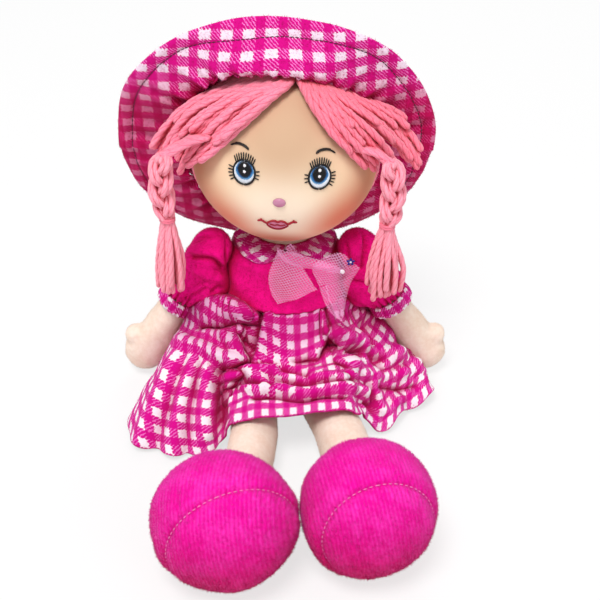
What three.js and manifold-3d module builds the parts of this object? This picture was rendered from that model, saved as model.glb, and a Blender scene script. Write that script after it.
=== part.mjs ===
// A sitting rag doll: stuffed cloth body, yarn hair in two braids, a gingham sun hat and dress,
// and ball-shaped plush boots. Lengths are in millimetres and angles in degrees, with +Z up.
// The doll faces -Y and sits on the XY plane. Left and right are as seen from the front, so a
// piece named left is at -X.

import * as THREE from 'three';
import { mergeVertices } from 'three/addons/utils/BufferGeometryUtils.js';
import Module from 'manifold-3d';

const wasm = await Module();
wasm.setup();

// Room that touching pieces keep, and how far a cutting solid runs past what it cuts.
const seamGap = 0.3;
const cutOverrun = 6;
// How deep a stuffed piece is pressed flat where it stands on the floor.
const floorPress = 0.5;

// Torso: a stuffed pillow from the seat to the base of the neck.
const torsoHeight = 116;
const torsoHalfWidth = 43;
const torsoHalfDepth = 34;
const torsoLeanDeg = 8;

// Dress bodice and its collar.
const bodiceCloth = 2.4;
const bodiceLength = 40;
const waistHeight = torsoHeight - bodiceLength;
const collarWidth = 14;
const collarCloth = 1.4;
const collarFrontGap = 3;

// Skirt: cloth that falls from the waist over the lap and on to the floor.
const skirtCloth = 1.6;
const skirtSpread = 100;
const skirtFrontReach = 84;
const skirtBackReach = 78;
const skirtFloorRoom = 0.8;
const skirtFoldDepth = 5.5;
const skirtPleatDepth = 3;

// Legs: ball at the hip, then a straight stuffed tube to the boot.
const hipHalfSpacing = 21;
const hipSetForward = 22;
const legRadius = 17.5;
const legLength = 134;
const legSplayDegs = { left: -5.2, right: 10.5 };
const foldForwardDeg = 15;

// Boots: a plush ball with its toe up, a sole in front of a sewn seam and a rim at the ankle.
const bootHalfWidth = 42;
const bootHalfDepth = 38;
const bootHalfHeight = 41.5;
const bootBeyondLeg = 21;
const bootReach = legLength + bootBeyondLeg;
const bootSeamForward = 14;
const bootSeamTiltDegs = { left: -9, right: 9 };
const rimCloth = 4;
const rimLength = 9;

// Arms: puffed sleeve, cuff and a mitten hand.
const shoulderHalfSpacing = 51.5;
const shoulderDrop = 14;
const shoulderHeight = torsoHeight - shoulderDrop;
const shoulderSetback = 5;
const sleeveRootRadius = 18;
const sleevePuffRadius = 19;
const sleeveLength = 38;
const cuffLength = 9;
const cuffCloth = 2.6;
const armLength = 112;
const armRadius = 11.5;
const handHalfWidth = 16;
const thumbRadius = 8;
const armSpreadDeg = 31;

// Neck and head.
const neckRadius = 14;
const neckRise = 7;
const headHalfWidth = 60;
const headHalfDepth = 50;
const headHalfHeight = 53.5;
const headRise = 49.5;
const headForward = 6;
const headTiltDeg = 9;
const headRollDeg = 3;
const chinShare = 0.1;

// Embroidered face: thin raised patches on the head.
const stitchRise = 0.9;
const faceOffset = 2.4;
const eyeHalfWidth = 7.2;
const eyeHalfHeight = 8.2;
const eyeHalfSpacing = 23.2;
const eyeRise = 6.9;
const browHalfLength = 7;
const browCloth = 1.6;
const browHalfSpacing = 26.5;
const browRise = 21.5;
const noseHalfWidth = 4.4;
const noseHalfHeight = 3.2;
const noseDrop = 10.6;
const noseRise = 2.6;
const mouthHalfLength = 13;
const lipHalfLength = 7;
const lipHalfHeight = 3.1;
const mouthDrop = 26.5;

// Yarn hair: a cap under the hat, two swept sides of the fringe, two braids and their tassels.
const hairCloth = 3;
const hairlineSetback = 2;
const napeDrop = 36;
const fringeThickness = 8;
const fringeHalfWidth = 23;
const braidRadius = 7.5;
const braidLength = 38;
const braidTopOut = 71;
const braidTopForward = 46;
const braidTopRise = 14;
const tieRadius = 5.4;
const tieLength = 5;
const tasselLength = 56;
const tasselRadius = 12;

// Sun hat: a gathered crown on the back of the head and a wide brim like a halo round the face.
const brimHalfWidth = 107;
const brimHalfHeight = 100;
const brimOpeningWidth = 64;
const brimOpeningHeight = 66;
const brimOpeningRise = 72;
const brimForward = 18;
const brimCloth = 2.4;
const brimTiltDeg = 13;
const brimOffset = 4.7;
const brimSetback = 24;
const brimDrop = 5;
const brimBackBendDeg = 26;
const brimWave = 3.5;
const crownCloth = 2;
const crownDepth = 46;

// Bow of stiff net on the chest, to the right of the middle.
const netCloth = 0.8;
const bowOffset = 22;
const bowAboveWaist = 20.5;
const bowHeight = waistHeight + bowAboveWaist;
const bowStandOff = 5;
const bowKnotRadius = 4;
const bowWingSpan = 36;
const bowWingFall = 30;
const bowTailLength = 28;
const flowerRadius = 3.6;
const flowerCloth = 1.6;

const colours = {
  skin: 0xfbe6c7, limb: 0xf5dccb, velour: 0xda0271, gingham: 0xe6187f, plush: 0xf90fa0,
  yarn: 0xf6859b, braidYarn: 0xee7288, net: 0xf7a8cf, flower: 0x3f57b8, eye: 0x24303c,
  brow: 0x2a1c1a, nose: 0xa1607c, lips: 0xb04a68, tie: 0xe85c72,
};

const radians = THREE.MathUtils.degToRad;
const mix = THREE.MathUtils.lerp;
const vec = (x, y, z) => new THREE.Vector3(x, y, z);

// How many sides the limbs, the tufts of yarn, the swept hair and the round pieces have.
const limbSides = 16;
const tuftSides = 10;
const sweptSides = 12;
const ballSides = 18;
const socketSides = 24;

// A smooth value along a list of [place, value] stops.
function along(stops, at) {
  let i = 0;
  while (i < stops.length - 2 && at > stops[i + 1][0]) i += 1;
  const [from, low] = stops[i];
  const [to, high] = stops[i + 1];
  const t = THREE.MathUtils.clamp((at - from) / (to - from), 0, 1);
  return mix(low, high, t * t * (3 - 2 * t));
}

// A triangle mesh from a list of points and a list of corner indices.
function geometryOf(points, corners) {
  const geometry = new THREE.BufferGeometry();
  const flat = points.flatMap((p) => [p.x, p.y, p.z]);
  geometry.setAttribute('position', new THREE.Float32BufferAttribute(flat, 3));
  geometry.setIndex(corners);
  return geometry;
}

// A closed skin over rings of points that turn anticlockwise about the way they are stacked.
function loft(rings) {
  const count = rings[0].length;
  const points = rings.flat();
  const corners = [];
  for (let r = 0; r < rings.length - 1; r += 1) {
    for (let i = 0; i < count; i += 1) {
      const j = (i + 1) % count;
      const a = r * count;
      const b = a + count;
      corners.push(a + i, a + j, b + j, a + i, b + j, b + i);
    }
  }
  [0, rings.length - 1].forEach((r) => {
    const centre = rings[r].reduce((sum, p) => sum.add(p), vec(0, 0, 0)).divideScalar(count);
    const middle = points.length;
    points.push(centre);
    for (let i = 0; i < count; i += 1) {
      const j = (i + 1) % count;
      const a = r * count;
      const [from, to] = r === 0 ? [a + j, a + i] : [a + i, a + j];
      corners.push(middle, from, to);
    }
  });
  return geometryOf(points, corners);
}

// A sheet of cloth with thickness. Seen from the side that it grows to, its rows run from the top
// down and each row's points run from left to right.
function sheet(rows, cloth, closed) {
  const across = rows[0].length;
  const spans = closed ? across : across - 1;
  const last = rows.length - 1;
  const at = (r, i) => rows[r][(i + across) % across];
  const normals = rows.map((row, r) => row.map((point, i) => {
    const left = closed || i > 0 ? at(r, i - 1) : point;
    const right = closed || i < across - 1 ? at(r, i + 1) : point;
    const over = rows[Math.max(r - 1, 0)][i];
    const under = rows[Math.min(r + 1, last)][i];
    return under.clone().sub(over).cross(right.clone().sub(left)).normalize();
  }));
  const near = rows.flat();
  const far = near.map((p, k) => {
    const normal = normals[Math.floor(k / across)][k % across];
    return p.clone().addScaledVector(normal, cloth);
  });
  const points = [...near, ...far];
  const half = near.length;
  const corners = [];
  const quad = (a, b, c, d) => corners.push(a, b, c, a, c, d);
  for (let r = 0; r < last; r += 1) {
    for (let i = 0; i < spans; i += 1) {
      const j = (i + 1) % across;
      const a = r * across + i;
      const b = r * across + j;
      const c = a + across;
      const d = b + across;
      quad(a, b, d, c);
      quad(a + half, c + half, d + half, b + half);
    }
  }
  for (let i = 0; i < spans; i += 1) {
    const j = (i + 1) % across;
    const end = last * across;
    quad(i, i + half, j + half, j);
    quad(end + i, end + j, end + j + half, end + i + half);
  }
  if (!closed) {
    for (let r = 0; r < last; r += 1) {
      const a = r * across;
      const b = a + across - 1;
      quad(a, a + across, a + across + half, a + half);
      quad(b, b + half, b + across + half, b + across);
    }
  }
  return geometryOf(points, corners);
}

// A ring of points round a centre, from one half axis towards the other.
function ring(centre, halfA, halfB, count) {
  return Array.from({ length: count }, (_, i) => {
    const turn = (i / count) * 2 * Math.PI;
    return centre.clone()
      .addScaledVector(halfA, Math.cos(turn))
      .addScaledVector(halfB, Math.sin(turn));
  });
}

// A stuffed limb: stops give the share of its length and its two half widths there.
function limb(start, direction, side, length, stops, count) {
  const forward = direction.clone().normalize();
  const wide = side.clone().addScaledVector(forward, -side.dot(forward)).normalize();
  const deep = forward.clone().cross(wide);
  return loft(stops.map(([share, halfWide, halfDeep]) => ring(
    start.clone().addScaledVector(forward, share * length),
    wide.clone().multiplyScalar(halfWide),
    deep.clone().multiplyScalar(halfDeep),
    count,
  )));
}

// Solids for cutting and joining.
function solidOf(geometry) {
  const bare = geometry.clone();
  bare.deleteAttribute('normal');
  bare.deleteAttribute('uv');
  const merged = mergeVertices(bare);
  return new wasm.Manifold(new wasm.Mesh({
    numProp: 3,
    vertProperties: new Float32Array(merged.attributes.position.array),
    triVerts: new Uint32Array(merged.index.array),
  }));
}

function geometryFrom(solid) {
  const mesh = solid.getMesh();
  const geometry = new THREE.BufferGeometry();
  geometry.setAttribute('position', new THREE.BufferAttribute(mesh.vertProperties, 3));
  geometry.setIndex(new THREE.BufferAttribute(mesh.triVerts, 1));
  return geometry;
}

function ball(centre, radius, segments = ballSides) {
  const geometry = new THREE.SphereGeometry(radius, segments, segments / 2);
  return solidOf(geometry.translate(centre.x, centre.y, centre.z));
}

// A slab that fills one side of a plane: everything that the normal points away from.
function behindPlane(point, normal, reach) {
  const geometry = new THREE.BoxGeometry(2 * reach, 2 * reach, reach);
  geometry.translate(0, 0, -reach / 2);
  const turn = new THREE.Quaternion().setFromUnitVectors(vec(0, 0, 1), normal.clone().normalize());
  geometry.applyQuaternion(turn);
  return solidOf(geometry.translate(point.x, point.y, point.z));
}

const worldReach = 3 * torsoHeight;
const belowFloor = behindPlane(vec(0, 0, 0), vec(0, 0, 1), worldReach);

const doll = new THREE.Group();

function add(name, shape, colour, roughness = 0.9, parent = doll) {
  const geometry = shape.isBufferGeometry ? shape : geometryFrom(shape);
  const material = new THREE.MeshStandardMaterial({ color: colour, roughness, metalness: 0 });
  const mesh = new THREE.Mesh(geometry, material);
  mesh.name = name;
  parent.add(mesh);
  return mesh;
}

// Torso surface. The height share runs from 0 at the seat to 1 at the base of the neck.
const torsoWidthShares = [
  [0, 0.8], [0.12, 0.98], [0.3, 1], [0.62, 0.9], [0.86, 0.86], [0.95, 0.66], [1, 0.4],
];
const torsoDepthShares = [
  [0, 0.72], [0.12, 0.97], [0.3, 1], [0.62, 0.9], [0.86, 0.76], [0.95, 0.6], [1, 0.44],
];
const torsoLean = Math.tan(radians(torsoLeanDeg));
const torsoAcross = 24;

function torsoPoint(turn, share, grown) {
  const height = share * torsoHeight;
  const wide = along(torsoWidthShares, share) * torsoHalfWidth + grown;
  const deep = along(torsoDepthShares, share) * torsoHalfDepth + grown;
  return vec(wide * Math.sin(turn), torsoLean * height - deep * Math.cos(turn), height);
}

function torsoRing(share, grown) {
  const turns = Array.from({ length: torsoAcross }, (_, i) => (i / torsoAcross) * 2 * Math.PI);
  return turns.map((turn) => torsoPoint(turn, share, grown));
}

const torsoShares = [0, 0.05, 0.14, 0.32, 0.5, 0.64, 0.76, 0.86, 0.93, 0.98, 1];
const hipLine = { y: -hipSetForward, z: legRadius - floorPress };
const shoulders = {
  left: vec(-shoulderHalfSpacing, shoulderSetback, shoulderHeight),
  right: vec(shoulderHalfSpacing, shoulderSetback, shoulderHeight),
};

// The trough that the two hips turn in, and the room that a raised leg needs in front of it.
function hipTrough() {
  const radius = legRadius + 2 * seamGap;
  const width = 2 * (torsoHalfWidth + cutOverrun);
  const roll = new THREE.CylinderGeometry(radius, radius, width, socketSides).rotateZ(Math.PI / 2);
  const lift = radians(foldForwardDeg);
  const reach = torsoHalfDepth + cutOverrun;
  const top = [radius * Math.sin(lift), radius * Math.cos(lift)];
  const wedge = new THREE.Shape();
  wedge.moveTo(0, -radius);
  wedge.lineTo(0, 0);
  wedge.lineTo(top[0], top[1]);
  wedge.lineTo(top[0] - reach * Math.cos(lift), top[1] + reach * Math.sin(lift));
  wedge.lineTo(top[0] - reach, -radius);
  wedge.closePath();
  const cut = new THREE.ExtrudeGeometry(wedge, { depth: width, bevelEnabled: false });
  cut.applyMatrix4(new THREE.Matrix4().makeBasis(vec(0, 1, 0), vec(0, 0, 1), vec(1, 0, 0)));
  cut.translate(-width / 2, 0, 0);
  return solidOf(roll).add(solidOf(cut)).translate([0, hipLine.y, hipLine.z]);
}

const trough = hipTrough();

// The way the arm hangs, the way out from it, and its width's direction for a limb.
function armFrame(side) {
  const spread = radians(armSpreadDeg);
  const down = vec(side * Math.sin(spread), 0, -Math.cos(spread));
  const out = vec(side * Math.cos(spread), 0, Math.sin(spread));
  return { down, out, wide: out.clone().multiplyScalar(side) };
}

// Puffed sleeve: a ball in the armhole that swells and is gathered into the cuff.
function sleeveShape(name, grown) {
  const { down, wide } = armFrame(name === 'left' ? -1 : 1);
  const ballShare = sleeveRootRadius / sleeveLength;
  return solidOf(limb(shoulders[name], down, wide, sleeveLength + grown, [
    [-ballShare * 0.2, sleeveRootRadius * 0.85 + grown, sleeveRootRadius * 0.85 + grown],
    [0, sleeveRootRadius * 0.97 + grown, sleeveRootRadius * 0.97 + grown],
    [0.4, sleevePuffRadius + grown, sleevePuffRadius * 0.92 + grown],
    [0.75, sleevePuffRadius * 0.97 + grown, sleevePuffRadius * 0.88 + grown],
    [0.93, armRadius + cuffCloth * 1.9 + grown, armRadius + cuffCloth * 1.7 + grown],
    [1, armRadius + cuffCloth + grown, armRadius + cuffCloth + grown],
  ], limbSides)).add(ball(shoulders[name], sleeveRootRadius + grown));
}

const armholes = sleeveShape('left', seamGap).add(sleeveShape('right', seamGap));
const torsoShape = (grown) => solidOf(loft(torsoShares.map((share) => torsoRing(share, grown))));
add('torso_body', torsoShape(0).subtract(trough).subtract(armholes), colours.skin);

// Bodice: a velour shell from the waist seam to the neckline.
const waistShare = waistHeight / torsoHeight;
const waistPlane = vec(0, 0, waistHeight);
const bodice = torsoShape(seamGap + bodiceCloth)
  .intersect(behindPlane(waistPlane, vec(0, 0, -1), worldReach))
  .intersect(behindPlane(vec(0, 0, torsoHeight - seamGap), vec(0, 0, 1), worldReach))
  .subtract(torsoShape(seamGap))
  .subtract(armholes);
add('dress_bodice', bodice, colours.velour);

// Collar: two flat halves with round ends, from the middle of the chest to the middle of the back.
const collarAcross = 9;
const collarDown = 3;
const collarDropShare = collarWidth / torsoHeight;
const collarTopShare = 0.99;
const collarRoundShare = 0.2;

function collarHalf(side) {
  const clear = bodiceCloth + 2 * seamGap;
  const startTurn = collarFrontGap / (torsoHalfWidth * 0.5);
  const rows = [];
  for (let r = 0; r <= collarDown; r += 1) {
    const row = [];
    for (let i = 0; i <= collarAcross; i += 1) {
      const t = i / collarAcross;
      const fromEnd = 1 - Math.min(t / collarRoundShare, 1);
      const ends = Math.sqrt(1 - fromEnd ** 2);
      const overShoulder = mix(1, 0.45, Math.sin(Math.PI * t) ** 2);
      const drop = (r / collarDown) * collarDropShare * mix(0.45, 1, ends) * overShoulder;
      const turn = side * mix(startTurn, Math.PI - startTurn, t);
      row.push(torsoPoint(turn, collarTopShare - drop, clear));
    }
    rows.push(side > 0 ? row : row.reverse());
  }
  return solidOf(sheet(rows, collarCloth, false))
    .subtract(torsoShape(2 * seamGap + bodiceCloth))
    .subtract(armholes);
}

add('collar_left', collarHalf(-1), colours.gingham);
add('collar_right', collarHalf(1), colours.gingham);

// Bow: a knot, a wing to each side, a tail and a small flower at the end of the short wing.
// Corners are shares of the span, of the stand-off and of the fall, from the knot.
const bowTurn = Math.asin(bowOffset / (torsoHalfWidth + bodiceCloth));
const bowRoom = bodiceCloth + collarCloth + bowKnotRadius + 4 * seamGap;
const bowKnot = torsoPoint(bowTurn, bowHeight / torsoHeight, bowRoom).setX(bowOffset);
const wingShares = {
  bow_wing_left: [[-0.8, -1.6, 0.72], [-0.13, -0.6, 0.5], [-0.95, -1.7, 0.1], [-0.13, -0.1, 0.02],
    [-0.78, -1.8, -0.5], [-0.13, -0.7, -0.18]],
  bow_wing_right: [[0.15, -0.2, 0.62], [0.5, 0.1, 0.6], [0.14, -0.5, 0.3], [0.6, -0.3, 0.42],
    [0.118, 0, 0.02], [0.72, 0, 0.3]],
  bow_tail: [[-0.05, -0.2, -0.17], [0.12, -0.1, -0.17], [0.12, -1.2, -0.55], [0.32, -0.9, -0.5],
    [0.3, -1.4, -0.95], [0.45, -1.2, -0.85]],
};

Object.entries(wingShares).forEach(([name, shares]) => {
  const corners = shares.map(([x, y, z]) => bowKnot.clone().add(vec(
    x * bowWingSpan,
    y * bowStandOff,
    z * (name === 'bow_tail' ? bowTailLength : bowWingFall),
  )));
  const rows = [0, 2, 4].map((k) => {
    const middle = corners[k].clone().lerp(corners[k + 1], 0.5);
    return [corners[k], middle, corners[k + 1]];
  });
  add(name, sheet(rows, netCloth, false), colours.net, 0.6);
});
add('bow_knot', ball(bowKnot, bowKnotRadius, tuftSides), colours.net, 0.6);

const flowerShape = new THREE.CylinderGeometry(flowerRadius, flowerRadius, flowerCloth, tuftSides);
const flowerPlace = bowKnot.clone().add(vec(
  0.56 * bowWingSpan,
  -0.3 * bowStandOff - netCloth - flowerCloth,
  0.46 * bowWingFall,
));
add('bow_flower', flowerShape.translate(flowerPlace.x, flowerPlace.y, flowerPlace.z), colours.flower, 0.5);

// Skirt. Hem places go round from the middle of the front by the right side to the back and
// on to the front again. They are shares of the spread, of the reach and of the leg's height.
const legTop = 2 * legRadius - floorPress;
const hemShares = [
  [0.02, -1, 1.1], [0.31, -0.99, 1.13], [0.5, -0.93, 0.98], [0.61, -0.81, 0.46], [0.72, -0.72, 0],
  [0.89, -0.66, 0], [1.04, -0.32, 0.1], [0.84, -0.15, 0], [0.73, 0.14, 0], [0.66, 0.58, 0],
  [0.37, 0.9, 0], [0, 1, 0], [-0.37, 0.9, 0], [-0.66, 0.58, 0], [-0.73, 0.14, 0],
  [-0.86, -0.17, 0], [-1.09, -0.4, 0], [-1, -0.88, 0], [-0.58, -1.05, 0], [-0.47, -1.01, 0.5],
  [-0.39, -0.98, 0.95], [-0.25, -0.99, 1.13],
];
const skirtAcross = 46;
const skirtDown = 12;

const hemCurve = new THREE.CatmullRomCurve3(hemShares.map(([x, y, z]) => vec(
  x * skirtSpread,
  y * (y < 0 ? skirtFrontReach : skirtBackReach),
  z * legTop + skirtFloorRoom + skirtCloth,
)), true, 'centripetal');

// The skirt's top edge lies just under the bodice's lower edge.
const waistTopShare = (waistHeight - skirtCloth - 2 * seamGap) / torsoHeight;

function skirtPoint(t, v) {
  const hem = hemCurve.getPoint(t);
  const waistTurn = t * 2 * Math.PI;
  const waist = torsoPoint(waistTurn, waistTopShare, 2 * seamGap);
  const front = Math.max(0, Math.cos(waistTurn));
  const outward = hem.clone().sub(waist).setZ(0).normalize();
  const leave = waist.clone().addScaledVector(outward, mix(0.1, 0.2, front) * skirtSpread);
  leave.z -= mix(0.22, 0.1, front) * waistHeight;
  const land = hem.clone().addScaledVector(outward, -0.14 * skirtSpread);
  land.z += mix(0.3, 0.34, front) * waistHeight;
  const point = new THREE.CubicBezierCurve3(waist, leave, land, hem).getPoint(v);
  const lap = front * Math.sin(Math.PI * THREE.MathUtils.smoothstep(v, 0.3, 1));
  point.z += lap * skirtFoldDepth * Math.cos((v - 0.46) * 4 * Math.PI);
  const pleats = Math.cos(waistTurn * 9) * Math.sin(Math.PI * Math.min(v * 1.4, 1));
  point.addScaledVector(outward, pleats * skirtPleatDepth * (1 - 0.6 * front));
  return point;
}

// One panel between two side seams, with room for the seam at each edge.
function skirtPanel(from, to) {
  const columns = Math.round((to - from) * skirtAcross);
  const rows = [];
  for (let r = 0; r <= skirtDown; r += 1) {
    const v = r / skirtDown;
    const room = seamGap / (2 * Math.PI * mix(torsoHalfWidth, skirtSpread, v));
    const row = [];
    for (let i = 0; i <= columns; i += 1) {
      const t = mix(from + room, to - room, i / columns);
      row.push(skirtPoint(THREE.MathUtils.euclideanModulo(t, 1), v));
    }
    rows.push(row);
  }
  return sheet(rows, skirtCloth, false);
}

const sideSeamShare = 0.4;
add('skirt_front', skirtPanel(-sideSeamShare, sideSeamShare), colours.gingham);
add('skirt_back', skirtPanel(sideSeamShare, 1 - sideSeamShare), colours.gingham);

// Legs and boots.
function legParts(name, side) {
  const splay = radians(legSplayDegs[name]);
  const hip = vec(side * hipHalfSpacing, hipLine.y, hipLine.z);
  const forward = vec(Math.sin(splay), -Math.cos(splay), 0);
  const across = vec(Math.cos(splay), Math.sin(splay), 0);
  const up = vec(0, 0, 1);
  const bootCentre = hip.clone().addScaledVector(forward, bootReach);
  bootCentre.setZ(bootHalfHeight - floorPress);

  const tube = limb(hip, forward, across, legLength, [
    [0, legRadius, legRadius], [0.3, legRadius * 0.97, legRadius * 0.98],
    [0.6, legRadius * 0.99, legRadius], [0.85, legRadius * 0.88, legRadius * 0.96],
    [0.96, legRadius * 0.8, legRadius * 0.9], [1, legRadius * 0.55, legRadius * 0.6],
  ], limbSides);
  const legSolid = solidOf(tube).add(ball(hip, legRadius - seamGap)).subtract(belowFloor);

  // Whole boot: a ball, flat on the floor, with the leg let in from behind.
  const bootBall = new THREE.SphereGeometry(1, 20, 13);
  bootBall.rotateX(Math.PI / 2);
  bootBall.applyMatrix4(new THREE.Matrix4().makeBasis(
    across.clone().multiplyScalar(bootHalfWidth),
    up.clone().multiplyScalar(bootHalfHeight),
    forward.clone().multiplyScalar(bootHalfDepth),
  ));
  bootBall.translate(bootCentre.x, bootCentre.y, bootCentre.z);
  const legRoom = limb(hip, forward, across, legLength + 2 * seamGap, [
    [0, legRadius + seamGap, legRadius + seamGap], [0.6, legRadius + seamGap, legRadius + seamGap],
    [0.85, legRadius * 0.88 + seamGap, legRadius * 0.96 + seamGap],
    [0.96, legRadius * 0.8 + seamGap, legRadius * 0.9 + seamGap],
    [1, legRadius * 0.6 + seamGap, legRadius * 0.65 + seamGap],
  ], limbSides);
  const boot = solidOf(bootBall).subtract(belowFloor).subtract(solidOf(legRoom));

  // Rim: the folded edge of the boot round the ankle.
  const rimStart = (bootReach - bootHalfDepth - rimLength * 0.2) / legLength;
  const rimShare = rimLength / legLength;
  const rimHalf = legRadius + rimCloth;
  const rimLoft = limb(hip, forward, across, legLength, [
    [rimStart - rimShare, rimHalf * 0.92, rimHalf * 0.92], [rimStart - rimShare * 0.6, rimHalf, rimHalf],
    [rimStart, rimHalf, rimHalf], [rimStart + rimShare, rimHalf * 0.9, rimHalf * 0.9],
  ], limbSides);
  const grownBoot = bootBall.clone();
  grownBoot.translate(-bootCentre.x, -bootCentre.y, -bootCentre.z);
  const grow = 1 + seamGap / bootHalfDepth;
  grownBoot.scale(grow, grow, grow);
  grownBoot.translate(bootCentre.x, bootCentre.y, bootCentre.z);
  const rim = solidOf(rimLoft)
    .subtract(solidOf(grownBoot))
    .subtract(solidOf(legRoom))
    .subtract(belowFloor);

  const tilt = radians(bootSeamTiltDegs[name]);
  const toToe = forward.clone().multiplyScalar(Math.cos(tilt)).addScaledVector(up, Math.sin(tilt));
  const seamPoint = bootCentre.clone().addScaledVector(forward, bootSeamForward);
  const upperEdge = seamPoint.clone().addScaledVector(toToe, -seamGap / 2);
  const soleEdge = seamPoint.clone().addScaledVector(toToe, seamGap / 2);
  const upperSide = behindPlane(upperEdge, toToe, worldReach);
  const soleSide = behindPlane(soleEdge, toToe.clone().negate(), worldReach);
  add(`leg_${name}`, legSolid, colours.limb);
  add(`boot_rim_${name}`, rim, colours.plush);
  add(`boot_upper_${name}`, boot.intersect(upperSide), colours.plush);
  add(`boot_sole_${name}`, boot.intersect(soleSide), colours.plush);
}

legParts('left', -1);
legParts('right', 1);

// Arms: the limb runs from the shoulder to the finger tips, inside the sleeve and the cuff.
function armParts(name, side) {
  const root = shoulders[name];
  const { down, out, wide } = armFrame(side);
  const armStops = (grown) => [
    [0.06, armRadius * 0.6 + grown, armRadius * 0.6 + grown],
    [0.12, armRadius + grown, armRadius + grown],
    [0.4, armRadius * 0.95 + grown, armRadius * 0.95 + grown],
    [0.6, armRadius * 1.12 + grown, armRadius + grown],
    [0.76, handHalfWidth * 0.94 + grown, armRadius + grown],
    [0.88, handHalfWidth + grown, armRadius * 0.98 + grown],
    [0.96, handHalfWidth * 0.76 + grown, armRadius * 0.72 + grown],
    [1, handHalfWidth * 0.36 + grown, armRadius * 0.3 + grown],
  ];
  const arm = solidOf(limb(root, down, wide, armLength, armStops(0), limbSides));
  const thumbCentre = root.clone().addScaledVector(down, armLength * 0.78)
    .addScaledVector(out, handHalfWidth * 0.82);
  const thumb = ball(thumbCentre, thumbRadius, sweptSides);
  const armRoom = solidOf(limb(root, down, wide, armLength, armStops(seamGap), limbSides));

  const sleeve = sleeveShape(name, 0).subtract(armRoom);

  const cuffStart = sleeveLength + seamGap;
  const cuffHalf = armRadius + cuffCloth;
  const cuffFrom = cuffStart / armLength;
  const cuffTo = (cuffStart + cuffLength) / armLength;
  const cuff = solidOf(limb(root, down, wide, armLength, [
    [cuffFrom, cuffHalf, cuffHalf], [mix(cuffFrom, cuffTo, 0.5), cuffHalf * 1.06, cuffHalf * 1.04],
    [cuffTo, cuffHalf * 1.08, cuffHalf * 1.04],
  ], limbSides)).subtract(armRoom);

  add(`arm_${name}`, arm.add(thumb), colours.limb);
  add(`sleeve_${name}`, sleeve, colours.velour);
  add(`cuff_${name}`, cuff, colours.gingham);
}

armParts('left', -1);
armParts('right', 1);

// Neck: a short stuffed stump with a round top that the head turns and nods on.
const neckFoot = vec(0, torsoLean * torsoHeight, torsoHeight + seamGap);
const neckPivot = neckFoot.clone().setZ(neckFoot.z + neckRise);

function neckSolid() {
  const foot = neckRadius * 0.96;
  const profile = [new THREE.Vector2(0, -neckRise), new THREE.Vector2(foot, -neckRise)];
  const arcSteps = 5;
  for (let i = 0; i <= arcSteps; i += 1) {
    const turn = mix(0, Math.PI / 2, i / arcSteps);
    profile.push(new THREE.Vector2(neckRadius * Math.cos(turn), neckRadius * Math.sin(turn)));
  }
  profile[profile.length - 1].x = 0;
  const turned = new THREE.LatheGeometry(profile, limbSides).rotateX(Math.PI / 2);
  return solidOf(turned.translate(neckPivot.x, neckPivot.y, neckPivot.z));
}

add('neck', neckSolid(), colours.skin);

// Head: everything on it is built round its centre, then tilted back and rolled with it.
const head = new THREE.Group();
head.position.set(0, neckPivot.y - headForward, neckPivot.z + headRise);
head.rotation.set(-radians(headTiltDeg), radians(headRollDeg), 0);
doll.add(head);
head.updateMatrixWorld(true);
const intoHead = (point) => head.worldToLocal(point.clone());

// A point of the head's surface by its turn from the front and its climb from the middle.
function headPoint(turn, climb, grown) {
  const low = Math.max(0, -Math.sin(climb));
  const narrow = 1 - chinShare * low * low;
  return vec(
    (headHalfWidth + grown) * narrow * Math.cos(climb) * Math.sin(turn),
    -(headHalfDepth + grown) * Math.cos(climb) * Math.cos(turn),
    (headHalfHeight + grown) * Math.sin(climb),
  );
}

const headAcross = 24;
const headUpward = 15;

function headShape(grown) {
  const turns = Array.from({ length: headAcross }, (_, i) => (i / headAcross) * 2 * Math.PI);
  const rings = [];
  for (let r = 1; r < headUpward; r += 1) {
    const climb = mix(-Math.PI / 2, Math.PI / 2, r / headUpward);
    rings.push(turns.map((turn) => headPoint(turn, climb, grown)));
  }
  return solidOf(loft(rings));
}

const neckSocket = ball(intoHead(neckPivot), neckRadius + 3 * seamGap, socketSides);
add('head', headShape(0).subtract(neckSocket), colours.skin, 0.85, head);

// A raised patch of embroidery: a shape in the face's own plane, pressed on to the head.
const onHead = headShape(seamGap);
const patchSkin = (rise) => headShape(seamGap + rise).subtract(onHead);

function facePatch(outline, x, z, rise = stitchRise) {
  const depth = 2 * headHalfDepth;
  const prism = new THREE.ExtrudeGeometry(outline, { depth, bevelEnabled: false, curveSegments: 8 });
  prism.rotateX(Math.PI / 2);
  return patchSkin(rise).intersect(solidOf(prism.translate(x, 0, z)));
}

function oval(halfWidth, halfHeight) {
  return new THREE.Shape().absellipse(0, 0, halfWidth, halfHeight, 0, 2 * Math.PI);
}

function browOutline() {
  const outline = new THREE.Shape();
  const archRise = browHalfLength * 0.6;
  outline.moveTo(-browHalfLength, -archRise / 2);
  outline.quadraticCurveTo(0, archRise + browCloth, browHalfLength, -archRise / 2);
  outline.lineTo(browHalfLength, -archRise / 2 - browCloth / 2);
  outline.quadraticCurveTo(0, archRise - browCloth, -browHalfLength, -archRise / 2 - browCloth / 2);
  return outline;
}

function mouthOutline() {
  const outline = new THREE.Shape();
  const thin = lipHalfHeight * 0.25;
  outline.moveTo(-mouthHalfLength, thin * 2);
  outline.lineTo(-lipHalfLength, thin);
  outline.quadraticCurveTo(-lipHalfLength / 2, lipHalfHeight * 1.2, 0, lipHalfHeight * 0.6);
  outline.quadraticCurveTo(lipHalfLength / 2, lipHalfHeight * 1.2, lipHalfLength, thin);
  outline.lineTo(mouthHalfLength, thin * 2);
  outline.lineTo(mouthHalfLength, 0);
  outline.lineTo(lipHalfLength, -thin);
  outline.quadraticCurveTo(0, -lipHalfHeight * 1.9, -lipHalfLength, -thin);
  outline.lineTo(-mouthHalfLength, 0);
  return outline;
}

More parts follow.
